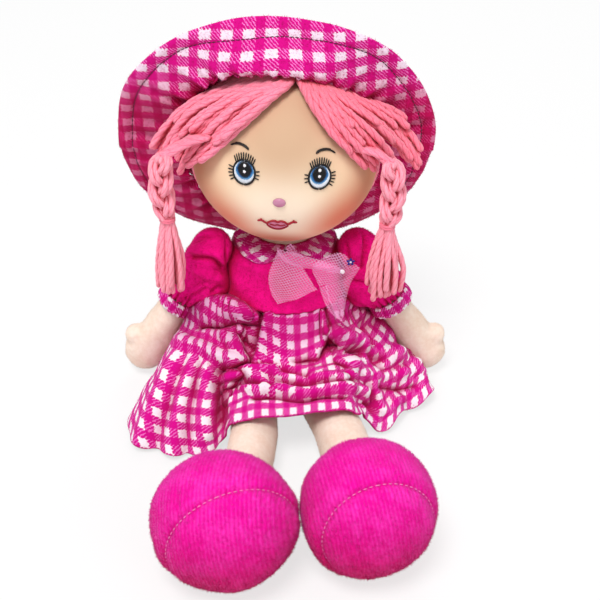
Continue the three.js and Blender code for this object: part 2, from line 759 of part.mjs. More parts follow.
[['left', -1], ['right', 1]].forEach(([name, side]) => {
  const eyeX = side * eyeHalfSpacing - faceOffset;
  const browX = side * browHalfSpacing - faceOffset;
  const eye = facePatch(oval(eyeHalfWidth, eyeHalfHeight), eyeX, eyeRise);
  const brow = facePatch(browOutline(), browX, browRise);
  add(`eye_${name}`, eye, colours.eye, 0.5, head);
  add(`brow_${name}`, brow, colours.brow, 0.8, head);
});
const noseOutline = oval(noseHalfWidth, noseHalfHeight);
const noseShape = facePatch(noseOutline, -faceOffset, -noseDrop, noseRise);
add('nose', noseShape, colours.nose, 0.5, head);
add('mouth', facePatch(mouthOutline(), -faceOffset, -mouthDrop), colours.lips, 0.7, head);

// Hair cap: a layer of yarn from the hairline to the nape.
const hairline = vec(0, hairlineSetback, 0);
const nape = vec(0, 0, -napeDrop);
const behindHairline = behindPlane(hairline, vec(0, -1, 0), worldReach);
const aboveNape = behindPlane(nape, vec(0, 0, -1), worldReach);
const hairCap = headShape(seamGap + hairCloth)
  .subtract(onHead)
  .intersect(behindHairline)
  .intersect(aboveNape);
add('hair_cap', hairCap, colours.yarn, 0.95, head);

// Fringe: each side is swept from the parting over the brow to the top of the braid.
const hairFront = hairline.clone().setY(hairlineSetback - seamGap);
const hairRoom = headShape(2 * seamGap + hairCloth)
  .intersect(behindPlane(hairFront, vec(0, -1, 0), worldReach));
const fringeShares = [
  [0.02, -0.2, 1.0], [0.25, -0.38, 0.93], [0.52, -0.5, 0.76], [0.78, -0.5, 0.53], [0.98, -0.46, 0.34],
  [1.18, -0.82, 0.25],
];
const fringeWidthShares = [[0, 0.3], [0.3, 0.85], [0.6, 1], [0.85, 0.6], [1, 0.24]];

// Each braid turns on a round root that sits in a hollow at the end of the fringe.
const braidRootRadius = braidRadius * 0.62;
const braidTop = (side) => vec(side * braidTopOut, -braidTopForward, braidTopRise);
const headDown = vec(0, 0, -1).transformDirection(head.matrixWorld.clone().invert());

function braidRoom(side) {
  const half = braidRadius * 1.2 + seamGap;
  const below = limb(braidTop(side), headDown, vec(1, 0, 0), braidLength, [
    [0, braidRootRadius, braidRootRadius], [0.14, half, half], [1, half, half],
  ], tuftSides);
  return solidOf(below).add(ball(braidTop(side), braidRootRadius + 2 * seamGap));
}

// One side of the fringe, or with grown more than 0 the room that it needs.
function fringeHalf(side, grown = 0) {
  const path = new THREE.CatmullRomCurve3(fringeShares.map(([x, y, z]) => vec(
    side * x * headHalfWidth,
    y * headHalfDepth,
    z * headHalfHeight,
  )));
  const steps = 9;
  const rings = [];
  for (let i = 0; i <= steps; i += 1) {
    const t = i / steps;
    const centre = path.getPoint(t);
    const forward = path.getTangent(t);
    const outward = vec(
      centre.x / headHalfWidth ** 2,
      centre.y / headHalfDepth ** 2,
      centre.z / headHalfHeight ** 2,
    ).normalize();
    const thick = outward.addScaledVector(forward, -outward.dot(forward)).normalize();
    const wide = thick.clone().cross(forward);
    const share = along(fringeWidthShares, t);
    const half = fringeThickness * mix(0.75, 0.95, t) * (i === 0 || i === steps ? 0.6 : 1);
    wide.multiplyScalar(share * fringeHalfWidth + grown);
    rings.push(ring(centre, wide, thick.multiplyScalar(half + grown), sweptSides));
  }
  if (grown > 0) {
    return solidOf(loft(rings));
  }
  const middle = behindPlane(vec(side * seamGap / 2, 0, 0), vec(-side, 0, 0), worldReach);
  return solidOf(loft(rings))
    .subtract(onHead)
    .subtract(hairRoom)
    .subtract(braidRoom(side))
    .intersect(middle);
}

const fringes = { left: fringeHalf(-1), right: fringeHalf(1) };
add('fringe_left', fringes.left, colours.yarn, 0.95, head);
add('fringe_right', fringes.right, colours.yarn, 0.95, head);

// Hat. The brim's edge lies in a plane behind the face whose top leans forward, and the upper
// half of the opening comes forward from that plane over the hair.
const brimTilt = radians(brimTiltDeg);
const worldToHead = head.matrixWorld.clone().invert();
const hatCentre = intoHead(head.position.clone().add(vec(-brimOffset, brimSetback, -brimDrop)));
const hatUp = vec(0, -Math.sin(brimTilt), Math.cos(brimTilt)).transformDirection(worldToHead);
const hatBack = vec(0, Math.cos(brimTilt), Math.sin(brimTilt)).transformDirection(worldToHead);
const hatSide = hatUp.clone().cross(hatBack).negate();
const brimAcross = 36;
const brimSteps = 3;

// How far the opening comes forward at a turn from the top.
function brimLead(turn) {
  return brimForward * Math.max(0, Math.cos(turn)) ** 2;
}

// A point of the opening's edge, grown outwards and drawn in by a share, in the brim's plane.
function openingPoint(turn, grown, share) {
  const rise = Math.cos(turn) > 0 ? brimOpeningRise : brimOpeningHeight;
  return hatSide.clone()
    .multiplyScalar((brimOpeningWidth + grown) * share * Math.sin(turn))
    .addScaledVector(hatUp, (rise + grown) * share * Math.cos(turn));
}

function brimPoint(turn, share, grown) {
  const radial = hatSide.clone()
    .multiplyScalar(Math.sin(turn))
    .addScaledVector(hatUp, Math.cos(turn));
  const low = Math.max(0, -Math.cos(turn));
  const bend = radians(brimBackBendDeg) * Math.sqrt(low) * share;
  const opening = openingPoint(turn, -grown, 1);
  const outer = vec(brimHalfWidth * Math.sin(turn), 0, brimHalfHeight * Math.cos(turn));
  const width = outer.length() - opening.length();
  const wave = brimWave * share * share * Math.cos(turn * 5 + 0.6);
  const lead = brimLead(turn) * (1 - THREE.MathUtils.smoothstep(share, 0, 1));
  return hatCentre.clone().add(opening)
    .addScaledVector(radial, share * width * Math.cos(bend))
    .addScaledVector(hatBack, share * width * Math.sin(bend) + wave - lead - grown);
}

// The brim, or with grown more than 0 the room that it needs in front of it and behind it.
function brimSheet(grown) {
  const turns = Array.from({ length: brimAcross }, (_, i) => (i / brimAcross) * 2 * Math.PI);
  const rows = [];
  for (let r = 0; r <= brimSteps; r += 1) {
    rows.push(turns.map((turn) => brimPoint(turn, r / brimSteps, grown)));
  }
  return solidOf(sheet(rows, brimCloth + 3 * grown, true));
}

const hairSpace = hairRoom.add(fringeHalf(-1, seamGap)).add(fringeHalf(1, seamGap));
add('hat_brim', brimSheet(0).subtract(hairSpace), colours.gingham, 0.95, head);

// Crown: a gathered dome from the back of the brim's opening over the back of the head.
function crownDome(grown, start) {
  const steps = 6;
  const turns = Array.from({ length: brimAcross }, (_, i) => (i / brimAcross) * 2 * Math.PI);
  const rings = [];
  for (let r = 0; r <= steps; r += 1) {
    const climb = mix(0, 0.9 * Math.PI / 2, Math.max(0, r - 1) / (steps - 1));
    const back = r === 0 ? start : (crownDepth + grown) * Math.sin(climb) + brimCloth;
    rings.push(turns.map((turn) => hatCentre.clone()
      .add(openingPoint(turn, grown, Math.cos(climb)))
      .addScaledVector(hatBack, back - brimLead(turn) * (1 - Math.sin(climb)))));
  }
  return solidOf(loft(rings));
}

const crown = crownDome(crownCloth, brimCloth / 2)
  .subtract(crownDome(0, -cutOverrun))
  .subtract(brimSheet(seamGap))
  .subtract(hairSpace);
add('hat_crown', crown, colours.gingham, 0.95, head);

// Braids hang from the side of the head: plait, tie and tassel.
function braidParts(name, side) {
  const top = braidTop(side);
  const down = headDown;
  const across = vec(1, 0, 0);
  const steps = 14;
  const lumps = braidLength / braidRadius * 0.5;
  const plaitStops = [];
  for (let i = 0; i <= steps; i += 1) {
    const t = i / steps;
    const swell = 1 + 0.12 * Math.cos(t * lumps * 2 * Math.PI);
    const taper = THREE.MathUtils.smoothstep(t, -0.12, 0.14) * mix(1, 0.86, t);
    const wide = braidRadius * swell * taper;
    plaitStops.push([t, wide, wide * 0.82]);
  }
  const tieTop = top.clone().addScaledVector(down, braidLength + seamGap);
  const tie = limb(tieTop, down, across, tieLength, [
    [0, tieRadius * 0.92, tieRadius * 0.92], [0.5, tieRadius, tieRadius],
    [1, tieRadius * 0.92, tieRadius * 0.92],
  ], tuftSides);
  const tasselTop = tieTop.clone().addScaledVector(down, tieLength + seamGap);
  const tassel = limb(tasselTop, down, across, tasselLength, [
    [0, tieRadius * 0.8, tieRadius * 0.8], [0.12, tasselRadius * 0.72, tasselRadius * 0.58],
    [0.35, tasselRadius * 0.9, tasselRadius * 0.68], [0.7, tasselRadius, tasselRadius * 0.72],
    [0.93, tasselRadius * 0.9, tasselRadius * 0.64], [1, tasselRadius * 0.6, tasselRadius * 0.45],
  ], tuftSides);
  const hairClear = headShape(3 * seamGap + hairCloth);
  const plait = solidOf(limb(top, down, across, braidLength, plaitStops, tuftSides))
    .add(ball(top, braidRootRadius, sweptSides))
    .subtract(hairClear);
  add(`braid_${name}`, plait, colours.braidYarn, 0.95, head);
  add(`hair_tie_${name}`, tie, colours.tie, 0.8, head);
  add(`tassel_${name}`, tassel, colours.yarn, 0.95, head);
}

braidParts('left', -1);
braidParts('right', 1);

export default doll;
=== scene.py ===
# %% [markdown]
# # A sitting rag doll in cloth, plush and yarn
#
# The doll is dressed piece by piece over its CAD frame. Every length in the steps is in millimetres
# and is turned into metres when a mesh is made. +Z is up and the doll faces -Y. In names, left and
# right are the viewer's.

import math

import bmesh
import bpy
import numpy as np
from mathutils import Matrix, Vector


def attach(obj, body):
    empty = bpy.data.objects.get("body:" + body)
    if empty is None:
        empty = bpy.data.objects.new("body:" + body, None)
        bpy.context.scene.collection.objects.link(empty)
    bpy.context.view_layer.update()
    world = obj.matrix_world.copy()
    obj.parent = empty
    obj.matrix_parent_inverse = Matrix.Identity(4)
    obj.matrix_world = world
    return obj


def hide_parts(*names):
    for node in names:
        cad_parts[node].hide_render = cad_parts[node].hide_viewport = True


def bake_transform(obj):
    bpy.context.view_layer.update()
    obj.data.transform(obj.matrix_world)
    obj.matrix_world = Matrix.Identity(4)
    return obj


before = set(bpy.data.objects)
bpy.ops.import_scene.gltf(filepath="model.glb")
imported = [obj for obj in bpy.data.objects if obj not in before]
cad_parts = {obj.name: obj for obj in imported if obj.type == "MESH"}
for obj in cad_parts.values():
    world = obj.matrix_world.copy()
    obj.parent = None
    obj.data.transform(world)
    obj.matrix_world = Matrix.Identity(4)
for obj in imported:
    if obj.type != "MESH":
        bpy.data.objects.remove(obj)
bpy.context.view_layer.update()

MM = 0.001
TAU = 2 * math.pi
SIDES = {"left": -1, "right": 1}


def add_object(name, data):
    """A new object at the origin, in the scene."""
    made = bpy.data.objects.new(name, data)
    bpy.context.scene.collection.objects.link(made)
    return made


# %% [markdown]
# ## Camera
#
# The camera stands straight in front, 36 degrees above the floor. The shift puts the doll's middle
# line a little left of the picture's centre, as in the photograph.

# %%
CAMERA_TARGET = np.array((0.0, -45.0, 100.0))
CAMERA_DISTANCE = 700.0
CAMERA_RISE = math.radians(36)
SENSOR_WIDTH = 36
FRAME_PIXELS = 600
FOCAL_PIXELS = 1076.67
SHIFT_PIXELS = 15
TO_CAMERA = np.array((0.0, -math.cos(CAMERA_RISE), math.sin(CAMERA_RISE)))
PICTURE_UP = np.array((0.0, math.sin(CAMERA_RISE), math.cos(CAMERA_RISE)))

camera_data = bpy.data.cameras.new("camera")
camera_data.sensor_width = SENSOR_WIDTH
camera_data.lens = SENSOR_WIDTH * FOCAL_PIXELS / FRAME_PIXELS
camera_data.shift_x = SHIFT_PIXELS / FRAME_PIXELS
camera_data.clip_start = 0.01
camera = add_object("camera", camera_data)
look = Vector((0, math.cos(CAMERA_RISE), -math.sin(CAMERA_RISE)))
camera.location = Vector(CAMERA_TARGET * MM) - look * CAMERA_DISTANCE * MM
camera.rotation_euler = look.to_track_quat("-Z", "Y").to_euler()
bpy.context.scene.camera = camera

# %% [markdown]
# ## Floor and light
#
# A white floor, a pale world and three large soft lamps, so that shadows stay faint and wide. Here
# lengths are in metres.

# %%
FLOOR_HALF = 4.0
WORLD_STRENGTH = 0.5


def linear(code):
    """A colour from its sRGB hex code, in linear light."""
    parts = [int(code[i:i + 2], 16) / 255 for i in (0, 2, 4)]
    light = [p / 12.92 if p <= 0.04045 else ((p + 0.055) / 1.055) ** 2.4 for p in parts]
    return (*light, 1.0)


def area_light(name, place, aim, size, power):
    """A round soft lamp that shines from its place to the aim."""
    data = bpy.data.lights.new(name, "AREA")
    data.shape = "DISK"
    data.size = size
    data.energy = power
    lamp = add_object(name, data)
    lamp.location = place
    lamp.rotation_euler = (Vector(aim) - Vector(place)).to_track_quat("-Z", "Y").to_euler()


area_light("key", (-0.4, -0.95, 2.3), (0, -0.03, 0.1), 1.0, 44)
area_light("fill", (1.4, -1.5, 0.9), (0, -0.03, 0.1), 1.4, 5)
area_light("back", (0.3, 1.5, 1.6), (0, 0, 0.1), 1.2, 9)

world = bpy.data.worlds.new("world")
world.use_nodes = True
background = next(n for n in world.node_tree.nodes if n.type == "BACKGROUND")
background.inputs["Color"].default_value = linear("ffffff")
background.inputs["Strength"].default_value = WORLD_STRENGTH
bpy.context.scene.world = world
bpy.context.scene.view_settings.view_transform = "Standard"
print("lights:", len(bpy.data.lights))

# %% [markdown]
# ## Material tools
#
# Nodes are added by one function. The others are short names for a node or two of one kind, and
# return the socket with the result.

# %%
def add_node(tree, kind, inputs=None, **settings):
    """A node with its settings, its inputs linked to sockets or set to values."""
    node = tree.nodes.new(kind)
    for key, value in settings.items():
        setattr(node, key, value)
    for key, value in (inputs or {}).items():
        if isinstance(value, bpy.types.NodeSocket):
            tree.links.new(value, node.inputs[key])
        else:
            node.inputs[key].default_value = value
    return node


def calc(tree, operation, *values, clamp=False):
    """The result of one math node."""
    node = add_node(tree, "ShaderNodeMath", dict(enumerate(values)), operation=operation)
    node.use_clamp = clamp
    return node.outputs[0]


def vector_calc(tree, operation, first, second):
    """The result of one vector math node. To scale, the second value is a number."""
    key = "Scale" if operation == "SCALE" else 1
    node = add_node(tree, "ShaderNodeVectorMath", {0: first, key: second}, operation=operation)
    return node.outputs[0]


def parts_of(tree, vector):
    """The x, y and z of a vector."""
    return add_node(tree, "ShaderNodeSeparateXYZ", {0: vector}).outputs


def pattern_of(tree):
    """The place in the flat cloth, or round and along the yarn."""
    return add_node(tree, "ShaderNodeAttribute", attribute_name="pattern").outputs["Vector"]


def place_of(tree):
    """The place in space, in metres."""
    return add_node(tree, "ShaderNodeTexCoord").outputs["Object"]


def place_in_mm(tree):
    return vector_calc(tree, "SCALE", place_of(tree), 1 / MM)


def ramp_between(tree, value, low, high):
    """0 below low, 1 above high and smooth between them."""
    inputs = {"Value": value, "From Min": low, "From Max": high}
    node = add_node(tree, "ShaderNodeMapRange", inputs, interpolation_type="SMOOTHSTEP")
    return node.outputs["Result"]


def noise(tree, vector, scale, detail, roughness=0.5):
    node = add_node(tree, "ShaderNodeTexNoise", {
        "Vector": vector, "Scale": scale, "Detail": detail, "Roughness": roughness,
    })
    return node.outputs["Fac"]


def blend_colour(tree, share, first, second, way="MIX"):
    """The first colour where the share is 0, blended with the second where it is 1."""
    inputs = {0: share, 6: first, 7: second}
    return add_node(tree, "ShaderNodeMix", inputs, data_type="RGBA", blend_type=way).outputs[2]


def shaded_in_hollows(tree, colour, tone, reach_mm, low=0.35, high=0.9):
    """The colour with painted shade, multiplied by a tone in hollows that are about as wide as the
    reach.
    """
    reach = {"Distance": reach_mm * MM}
    open_share = add_node(tree, "ShaderNodeAmbientOcclusion", reach, samples=6).outputs["AO"]
    hollow = ramp_between(tree, open_share, high, low)
    return blend_colour(tree, hollow, colour, linear(tone), "MULTIPLY")


def height_shaded(tree, colour, clear, full, tone):
    """The colour with painted shade, multiplied by a tone more and more from the clear height to
    the full one.
    """
    height_shade = ramp_between(tree, parts_of(tree, place_of(tree))[2], clear * MM, full * MM)
    return blend_colour(tree, height_shade, colour, linear(tone), "MULTIPLY")


def start_material(name, roughness, sheen=0.0, sheen_tint="ffffff", sheen_roughness=0.4):
    """A material with one shader, and the tree and shader to go on with."""
    material = bpy.data.materials.new(name)
    material.use_nodes = True
    tree = material.node_tree
    tree.nodes.clear()
    shader = add_node(tree, "ShaderNodeBsdfPrincipled", {
        "Roughness": roughness, "Sheen Weight": sheen, "Sheen Roughness": sheen_roughness,
        "Sheen Tint": linear(sheen_tint), "Specular IOR Level": 0.2,
    })
    add_node(tree, "ShaderNodeOutputMaterial", {"Surface": shader.outputs[0]})
    return material, tree, shader


def set_bump(tree, shader, height, distance_mm, strength=1.0):
    bump = add_node(tree, "ShaderNodeBump", {
        "Height": height, "Distance": distance_mm * MM, "Strength": strength,
    })
    tree.links.new(bump.outputs[0], shader.inputs["Normal"])


# %% [markdown]
# ## Curves and faces
#
# Small functions for smooth steps and curves, for evenly spaced turns and for the faces over points
# that are stored row after row.

# %%
def smoothstep(low, high, x):
    t = np.clip((np.asarray(x, float) - low) / (high - low), 0, 1)
    return t * t * (3 - 2 * t)


def eased(stops, at):
    """A smooth value along a list of (place, value) stops."""
    at = np.asarray(at, float)
    out = np.full(at.shape, float(stops[0][1]))
    for (x0, y0), (x1, y1) in zip(stops, stops[1:]):
        out = np.where(at > x0, y0 + (y1 - y0) * smoothstep(x0, x1, at), out)
    return out


def turns_round(count):
    """Evenly spaced turns round a circle, in radians."""
    return np.arange(count) / count * TAU


def run_along(points):
    """How far along its path each point lies."""
    return np.r_[0, np.cumsum(np.linalg.norm(np.diff(points, axis=0), axis=1))]


def curve_through(points, count, closed=False):
    """Evenly spaced points on a smooth curve through the given ones."""
    p = np.asarray(points, float)
    if closed:
        ring = np.vstack([p[-1], p, p[0], p[1]])
    else:
        ring = np.vstack([2 * p[0] - p[1], p, 2 * p[-1] - p[-2]])
    t = np.linspace(0, 1, 25)[:-1][:, None]
    dense = []
    for a, b, c, d in zip(ring, ring[1:], ring[2:], ring[3:]):
        square, cube = 2 * a - 5 * b + 4 * c - d, 3 * b - a - 3 * c + d
        dense.append(0.5 * (2 * b + (c - a) * t + square * t ** 2 + cube * t ** 3))
    dense = np.vstack(dense + [ring[-2][None, :]])
    steps = run_along(dense)
    at = np.linspace(0, steps[-1], count)
    return np.stack([np.interp(at, steps, column) for column in dense.T], axis=1)


def grid_faces(rows, columns, wrap=False, start=0):
    """Four-sided faces over rows of points. With wrap the rows go round."""
    r = np.arange(rows - 1)[:, None]
    c = np.arange(columns if wrap else columns - 1)[None, :]
    n = (c + 1) % columns
    a, b = r * columns + c, r * columns + n
    quads = np.stack([a, b, b + columns, a + columns], axis=-1).reshape(-1, 4) + start
    return quads.tolist()


def capped_faces(rows, columns, start=0):
    """Faces over rows that go round, with one face across each end."""
    first, last = (list(range(at, at + columns)) for at in (start, start + (rows - 1) * columns))
    return grid_faces(rows, columns, wrap=True, start=start) + [first[::-1], last]


def joining_faces(rows, columns):
    """Faces that join the last of the rows that go round to the first."""
    last = (rows - 1) * columns
    near = [(i, (i + 1) % columns) for i in range(columns)]
    return [[last + i, last + j, j, i] for i, j in near]


def loop_faces(rows, columns):
    """Faces over rows that go round, and whose last joins the first."""
    return grid_faces(rows, columns, wrap=True) + joining_faces(rows, columns)


def ball_faces(rows, columns):
    """Faces over rows that go round, closed at two poles that are stored after them."""
    count = rows * columns
    faces = grid_faces(rows, columns, wrap=True)
    for i in range(columns):
        j = (i + 1) % columns
        faces += [[count, j, i], [count + 1, count - columns + i, count - columns + j]]
    return faces


# %% [markdown]
# ## Pieces
#
# Meshes are made from arrays of points in millimetres, with the flat pattern of the cloth or the
# run of the yarn as a UV layer named `pattern`. A piece is then dressed: it goes with a body and
# stands for nodes of the frame.

# %%
def smoothed(piece):
    """The piece, shaded smooth."""
    piece.data.polygons.foreach_set("use_smooth", [True] * len(piece.data.polygons))
    return piece


def make_piece(name, points, faces, material, pattern=None):
    """A mesh object at the origin from points in millimetres."""
    mesh = bpy.data.meshes.new(name)
    mesh.from_pydata((np.asarray(points, float) * MM).tolist(), [], faces)
    mesh.validate()
    mesh.update()
    if pattern is not None:
        corner = np.empty(len(mesh.loops), dtype=np.int32)
        mesh.loops.foreach_get("vertex_index", corner)
        layer = mesh.uv_layers.new(name="pattern")
        layer.data.foreach_set("uv", np.asarray(pattern, np.float32)[corner].ravel())
    mesh.materials.append(material)
    return smoothed(add_object(name, mesh))


def outward(piece):
    """Turns the normals of a closed mesh outwards."""
    work = bmesh.new()
    work.from_mesh(piece.data)
    bmesh.ops.recalc_face_normals(work, faces=work.faces)
    work.to_mesh(piece.data)
    work.free()
    return piece


def applied(piece):
    """The piece with its modifiers worked into a new mesh."""
    bpy.context.view_layer.update()
    graph = bpy.context.evaluated_depsgraph_get()
    mesh = bpy.data.meshes.new_from_object(piece.evaluated_get(graph))
    name = piece.name
    bpy.data.objects.remove(piece)
    mesh.name = name
    return add_object(name, mesh)


def thickened(piece, thickness_mm):
    """A sheet given a thickness, behind it."""
    wall = piece.modifiers.new("wall", "SOLIDIFY")
    wall.thickness = thickness_mm * MM
    wall.offset = -1
    return applied(piece)


def across_path(path):
    """Two unit vectors across a path at each of its points, which turn as little as they can."""
    ahead = np.gradient(path, axis=0)
    ahead /= np.linalg.norm(ahead, axis=1, keepdims=True)
    side = np.cross(ahead[0], (0.3, 0.5, 0.8))
    side /= np.linalg.norm(side)
    sides = []
    for direction in ahead:
        side = side - direction * side.dot(direction)
        side /= np.linalg.norm(side)
        sides.append(side)
    sides = np.array(sides)
    return sides, np.cross(ahead, sides)


PLIES = 3
STRAND_SHIFT = 37.0


def tubes(name, paths, radius, material, sides, twist=0, taper=1.6):
    """Strands along paths. With twist, plies wind once round in that many millimetres.

    The pattern is the share of the way round and the run in millimetres, shifted on each strand.
    """
    points, faces, pattern = [], [], []
    start = 0
    angle = turns_round(sides)
    lobes = 0.82 + 0.18 * np.abs(np.cos(PLIES * angle / 2)) ** 0.8 if twist else 1.0
    for k, path in enumerate(paths):
        side, deep = across_path(path)
        run = run_along(path)
        ends = np.minimum(1, 0.35 + 0.65 * np.minimum(run, run[-1] - run) / taper)
        turn = angle[None, :] + (run[:, None] / twist * TAU if twist else 0)
        reach = (radius * ends)[:, None] * lobes
        ring = path[:, None, :] + reach[..., None] * (
            np.cos(turn)[..., None] * side[:, None, :] + np.sin(turn)[..., None] * deep[:, None, :]
        )
        points.append(ring.reshape(-1, 3))
        around = np.broadcast_to(np.arange(sides) / sides, ring.shape[:2])
        along = np.broadcast_to(run[:, None] + STRAND_SHIFT * k, ring.shape[:2])
        pattern.append(np.stack([around, along], axis=-1).reshape(-1, 2))
        faces += capped_faces(len(path), sides, start)
        start += len(path) * sides
    return make_piece(name, np.vstack(points), faces, material, np.vstack(pattern))


def dress(piece, body, slot, *nodes):
    """The piece moves with a body and stands for these nodes. The slot is not used."""
    if nodes:
        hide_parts(*nodes)
    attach(piece, body)
    print(f"{piece.name}: {len(piece.data.polygons)} faces on {body}")
    return piece


# %%
TWILL_EDGE = (0.1, 0.26)
BAND_EDGE = (0.01, 0.09)
DEEP_PINK = "b80068"
RIB_PITCH = 2.3
FIBRES_ROUND = 34.0


def gingham(name, across, down, white_shares, slant, twill, pink, half="ff84da", white="f9e6f6",
            height_shade=None):
    """A brushed check. across and down are its repeats, and slant is the way of its twill.

    With two heights and a tone, painted shade darkens the cloth from the first to the second.
    """
    material, tree, shader = start_material(name, 0.95, 0.1, "ff9ed6", 0.5)
    flat = pattern_of(tree)
    nap = add_node(tree, "ShaderNodeTexNoise", {"Vector": flat, "Scale": 0.8, "Detail": 3.0})
    pushed = vector_calc(tree, "SUBTRACT", nap.outputs["Color"], (0.5, 0.5, 0.5))
    pushed = vector_calc(tree, "SCALE", pushed, 2.0)
    x, y, _ = parts_of(tree, vector_calc(tree, "ADD", flat, pushed))

    def off_middle(value, repeat):
        """How far the value is from the middle of its repeat, in repeats."""
        place = calc(tree, "FRACT", calc(tree, "DIVIDE", value, repeat))
        return calc(tree, "ABSOLUTE", calc(tree, "SUBTRACT", place, 0.5))

    # The twill: pink threads with pale ones between them, on a slant.
    line = calc(tree, "ADD", x, calc(tree, "MULTIPLY", y, slant))
    hatch = ramp_between(tree, off_middle(line, twill), *TWILL_EDGE)

    def band(value, repeat, share):
        """1 on the pink bands and 0 on the white ones, with the twill's threads along the edge."""
        away = calc(tree, "MULTIPLY", off_middle(value, repeat), 2.0)
        away = calc(tree, "ADD", away, calc(tree, "MULTIPLY", hatch, BAND_EDGE[1]))
        return ramp_between(tree, away, share + BAND_EDGE[0], share + BAND_EDGE[1])

    in_column, in_row = band(x, across, white_shares[0]), band(y, down, white_shares[1])
    both = calc(tree, "MULTIPLY", in_column, in_row)
    either = calc(tree, "MAXIMUM", in_column, in_row)
    fuzz = noise(tree, flat, 2.2, 3.0, 0.7)
    speck = ramp_between(tree, fuzz, 0.35, 0.65)

    crossing = blend_colour(tree, hatch, linear(half), linear(pink))
    cloth = blend_colour(tree, either, linear(white), crossing)
    cloth = blend_colour(tree, both, cloth, linear(pink))
    depth = calc(tree, "ADD", calc(tree, "MULTIPLY", either, 0.3), 0.05)
    cloth = blend_colour(tree, calc(tree, "MULTIPLY", speck, depth), cloth, linear(DEEP_PINK))
    # Painted shade: the cloth turns deep pink in its hollows and folds.
    cloth = shaded_in_hollows(tree, cloth, "cc4f88", 16)
    # Painted shade by height, where it is given.
    if height_shade:
        cloth = height_shaded(tree, cloth, *height_shade)
    tree.links.new(cloth, shader.inputs["Base Color"])
    height = calc(tree, "ADD", calc(tree, "MULTIPLY", hatch, 0.25), fuzz)
    set_bump(tree, shader, height, 0.6, 0.7)
    return material


def plush(name, light, dark, sheen, sheen_tint, grain, rib=0.0, hollow=None, height_shade=None):
    """A short pile in two tones, brushed in patches. A rib shows the knit under the pile."""
    material, tree, shader = start_material(name, 0.95, sheen, sheen_tint, 0.35)
    place = place_in_mm(tree)
    patch = noise(tree, place, 0.07, 2.0)
    fine = noise(tree, place, grain, 3.0, 0.6)
    mix = calc(tree, "ADD", calc(tree, "MULTIPLY", ramp_between(tree, patch, 0.35, 0.65), 0.5),
               calc(tree, "MULTIPLY", ramp_between(tree, fine, 0.3, 0.7), 0.5))
    height = calc(tree, "ADD", fine, noise(tree, place, 1.3, 2.0))
    if rib:
        across = parts_of(tree, pattern_of(tree))[0]
        wave = calc(tree, "SINE", calc(tree, "MULTIPLY", across, TAU / RIB_PITCH))
        wave = calc(tree, "ADD", calc(tree, "MULTIPLY", wave, 0.5), 0.5)
        wave = calc(tree, "MULTIPLY", wave, rib)
        mix = calc(tree, "ADD", mix, calc(tree, "MULTIPLY", wave, 0.45), clamp=True)
        height = calc(tree, "ADD", height, wave)
    colour = blend_colour(tree, mix, linear(light), linear(dark))
    # Painted shade in hollows, where a tone is given.
    if hollow:
        colour = shaded_in_hollows(tree, colour, hollow, 12)
    # Painted shade by height, where it is given.
    if height_shade:
        colour = height_shaded(tree, colour, *height_shade)
    tree.links.new(colour, shader.inputs["Base Color"])
    set_bump(tree, shader, height, 0.6, 0.5)
    return material


def yarn(name, light, mid, dark):
    """Plied wool: fine fibres run along each ply, and painted shade darkens the grooves between
    plies.
    """
    material, tree, shader = start_material(name, 0.9, 0.4, "ffd9df", 0.5)
    around, along, _ = parts_of(tree, pattern_of(tree))
    stretched = add_node(tree, "ShaderNodeCombineXYZ", {
        0: calc(tree, "MULTIPLY", around, FIBRES_ROUND), 1: calc(tree, "MULTIPLY", along, 0.5),
    })
    fibre = noise(tree, stretched.outputs[0], 1.0, 3.0, 0.6)
    lobe = calc(tree, "COSINE", calc(tree, "MULTIPLY", around, PLIES * math.pi))
    groove_shade = ramp_between(tree, calc(tree, "ABSOLUTE", lobe), 0.5, 0.0)
    colour = blend_colour(tree, ramp_between(tree, fibre, 0.3, 0.7), linear(mid), linear(light))
    colour = blend_colour(tree, calc(tree, "MULTIPLY", groove_shade, 0.55), colour, linear(dark))
    # Painted shade in the hollows between strands.
    colour = shaded_in_hollows(tree, colour, "d2566c", 5, 0.2, 0.8)
    tree.links.new(colour, shader.inputs["Base Color"])
    set_bump(tree, shader, fibre, 0.4, 0.5)
    return material


def thread(name, colour, roughness=0.55, sheen=0.1):
    """Embroidery or sewing thread, shiny unless it is rough."""
    material, tree, shader = start_material(name, roughness, sheen)
    shader.inputs["Base Color"].default_value = linear(colour)
    shader.inputs["Specular IOR Level"].default_value = 0.4 if roughness < 0.8 else 0.1
    return material


# The repeats of the checks across and down, the white shares, the slant and pitch of the twill.
WIDE_CHECK = (13.6, 11.9, (0.55, 0.47), 1.0, 2.3)
FINE_CHECK = (9.2, 10.8, (0.5, 0.52), -1.0, 2.1)
# The hat's check takes painted shade low on the brim, where it turns down and the head shades it.
hat_cloth = gingham("flannel_check_wide", *WIDE_CHECK, "dc008a", height_shade=(240, 198, "e486a8"))
# The skirt's check takes painted shade high up, under the bodice.
skirt_cloth = gingham("flannel_check_fine", *FINE_CHECK, "e00094", "f878d2", "fff5fd",
                      height_shade=(48, 66, "e6b4d4"))
trim_cloth = gingham("flannel_check_trim", *FINE_CHECK, "de0090", white="fff5fd")
# The velour takes painted shade in its hollows.
velour = plush("velour_pink", "f4048b", "e2007a", 0.4, "ff4fb0", 0.5, hollow="cc4a88")
# The boots' plush takes painted shade towards the floor.
boot_plush = plush("crystal_plush_pink", "ff3cc8", "ee02a2", 0.55, "ff90e0", 0.45, rib=1.0,
                   height_shade=(88, 6, "d67a88"))
cream_plush = plush("plush_cream", "fdecdd", "f3dac6", 0.3, "fff4ea", 0.4)
hair_yarn = yarn("yarn_pink", "ffa0b6", "f97895", "d84868")
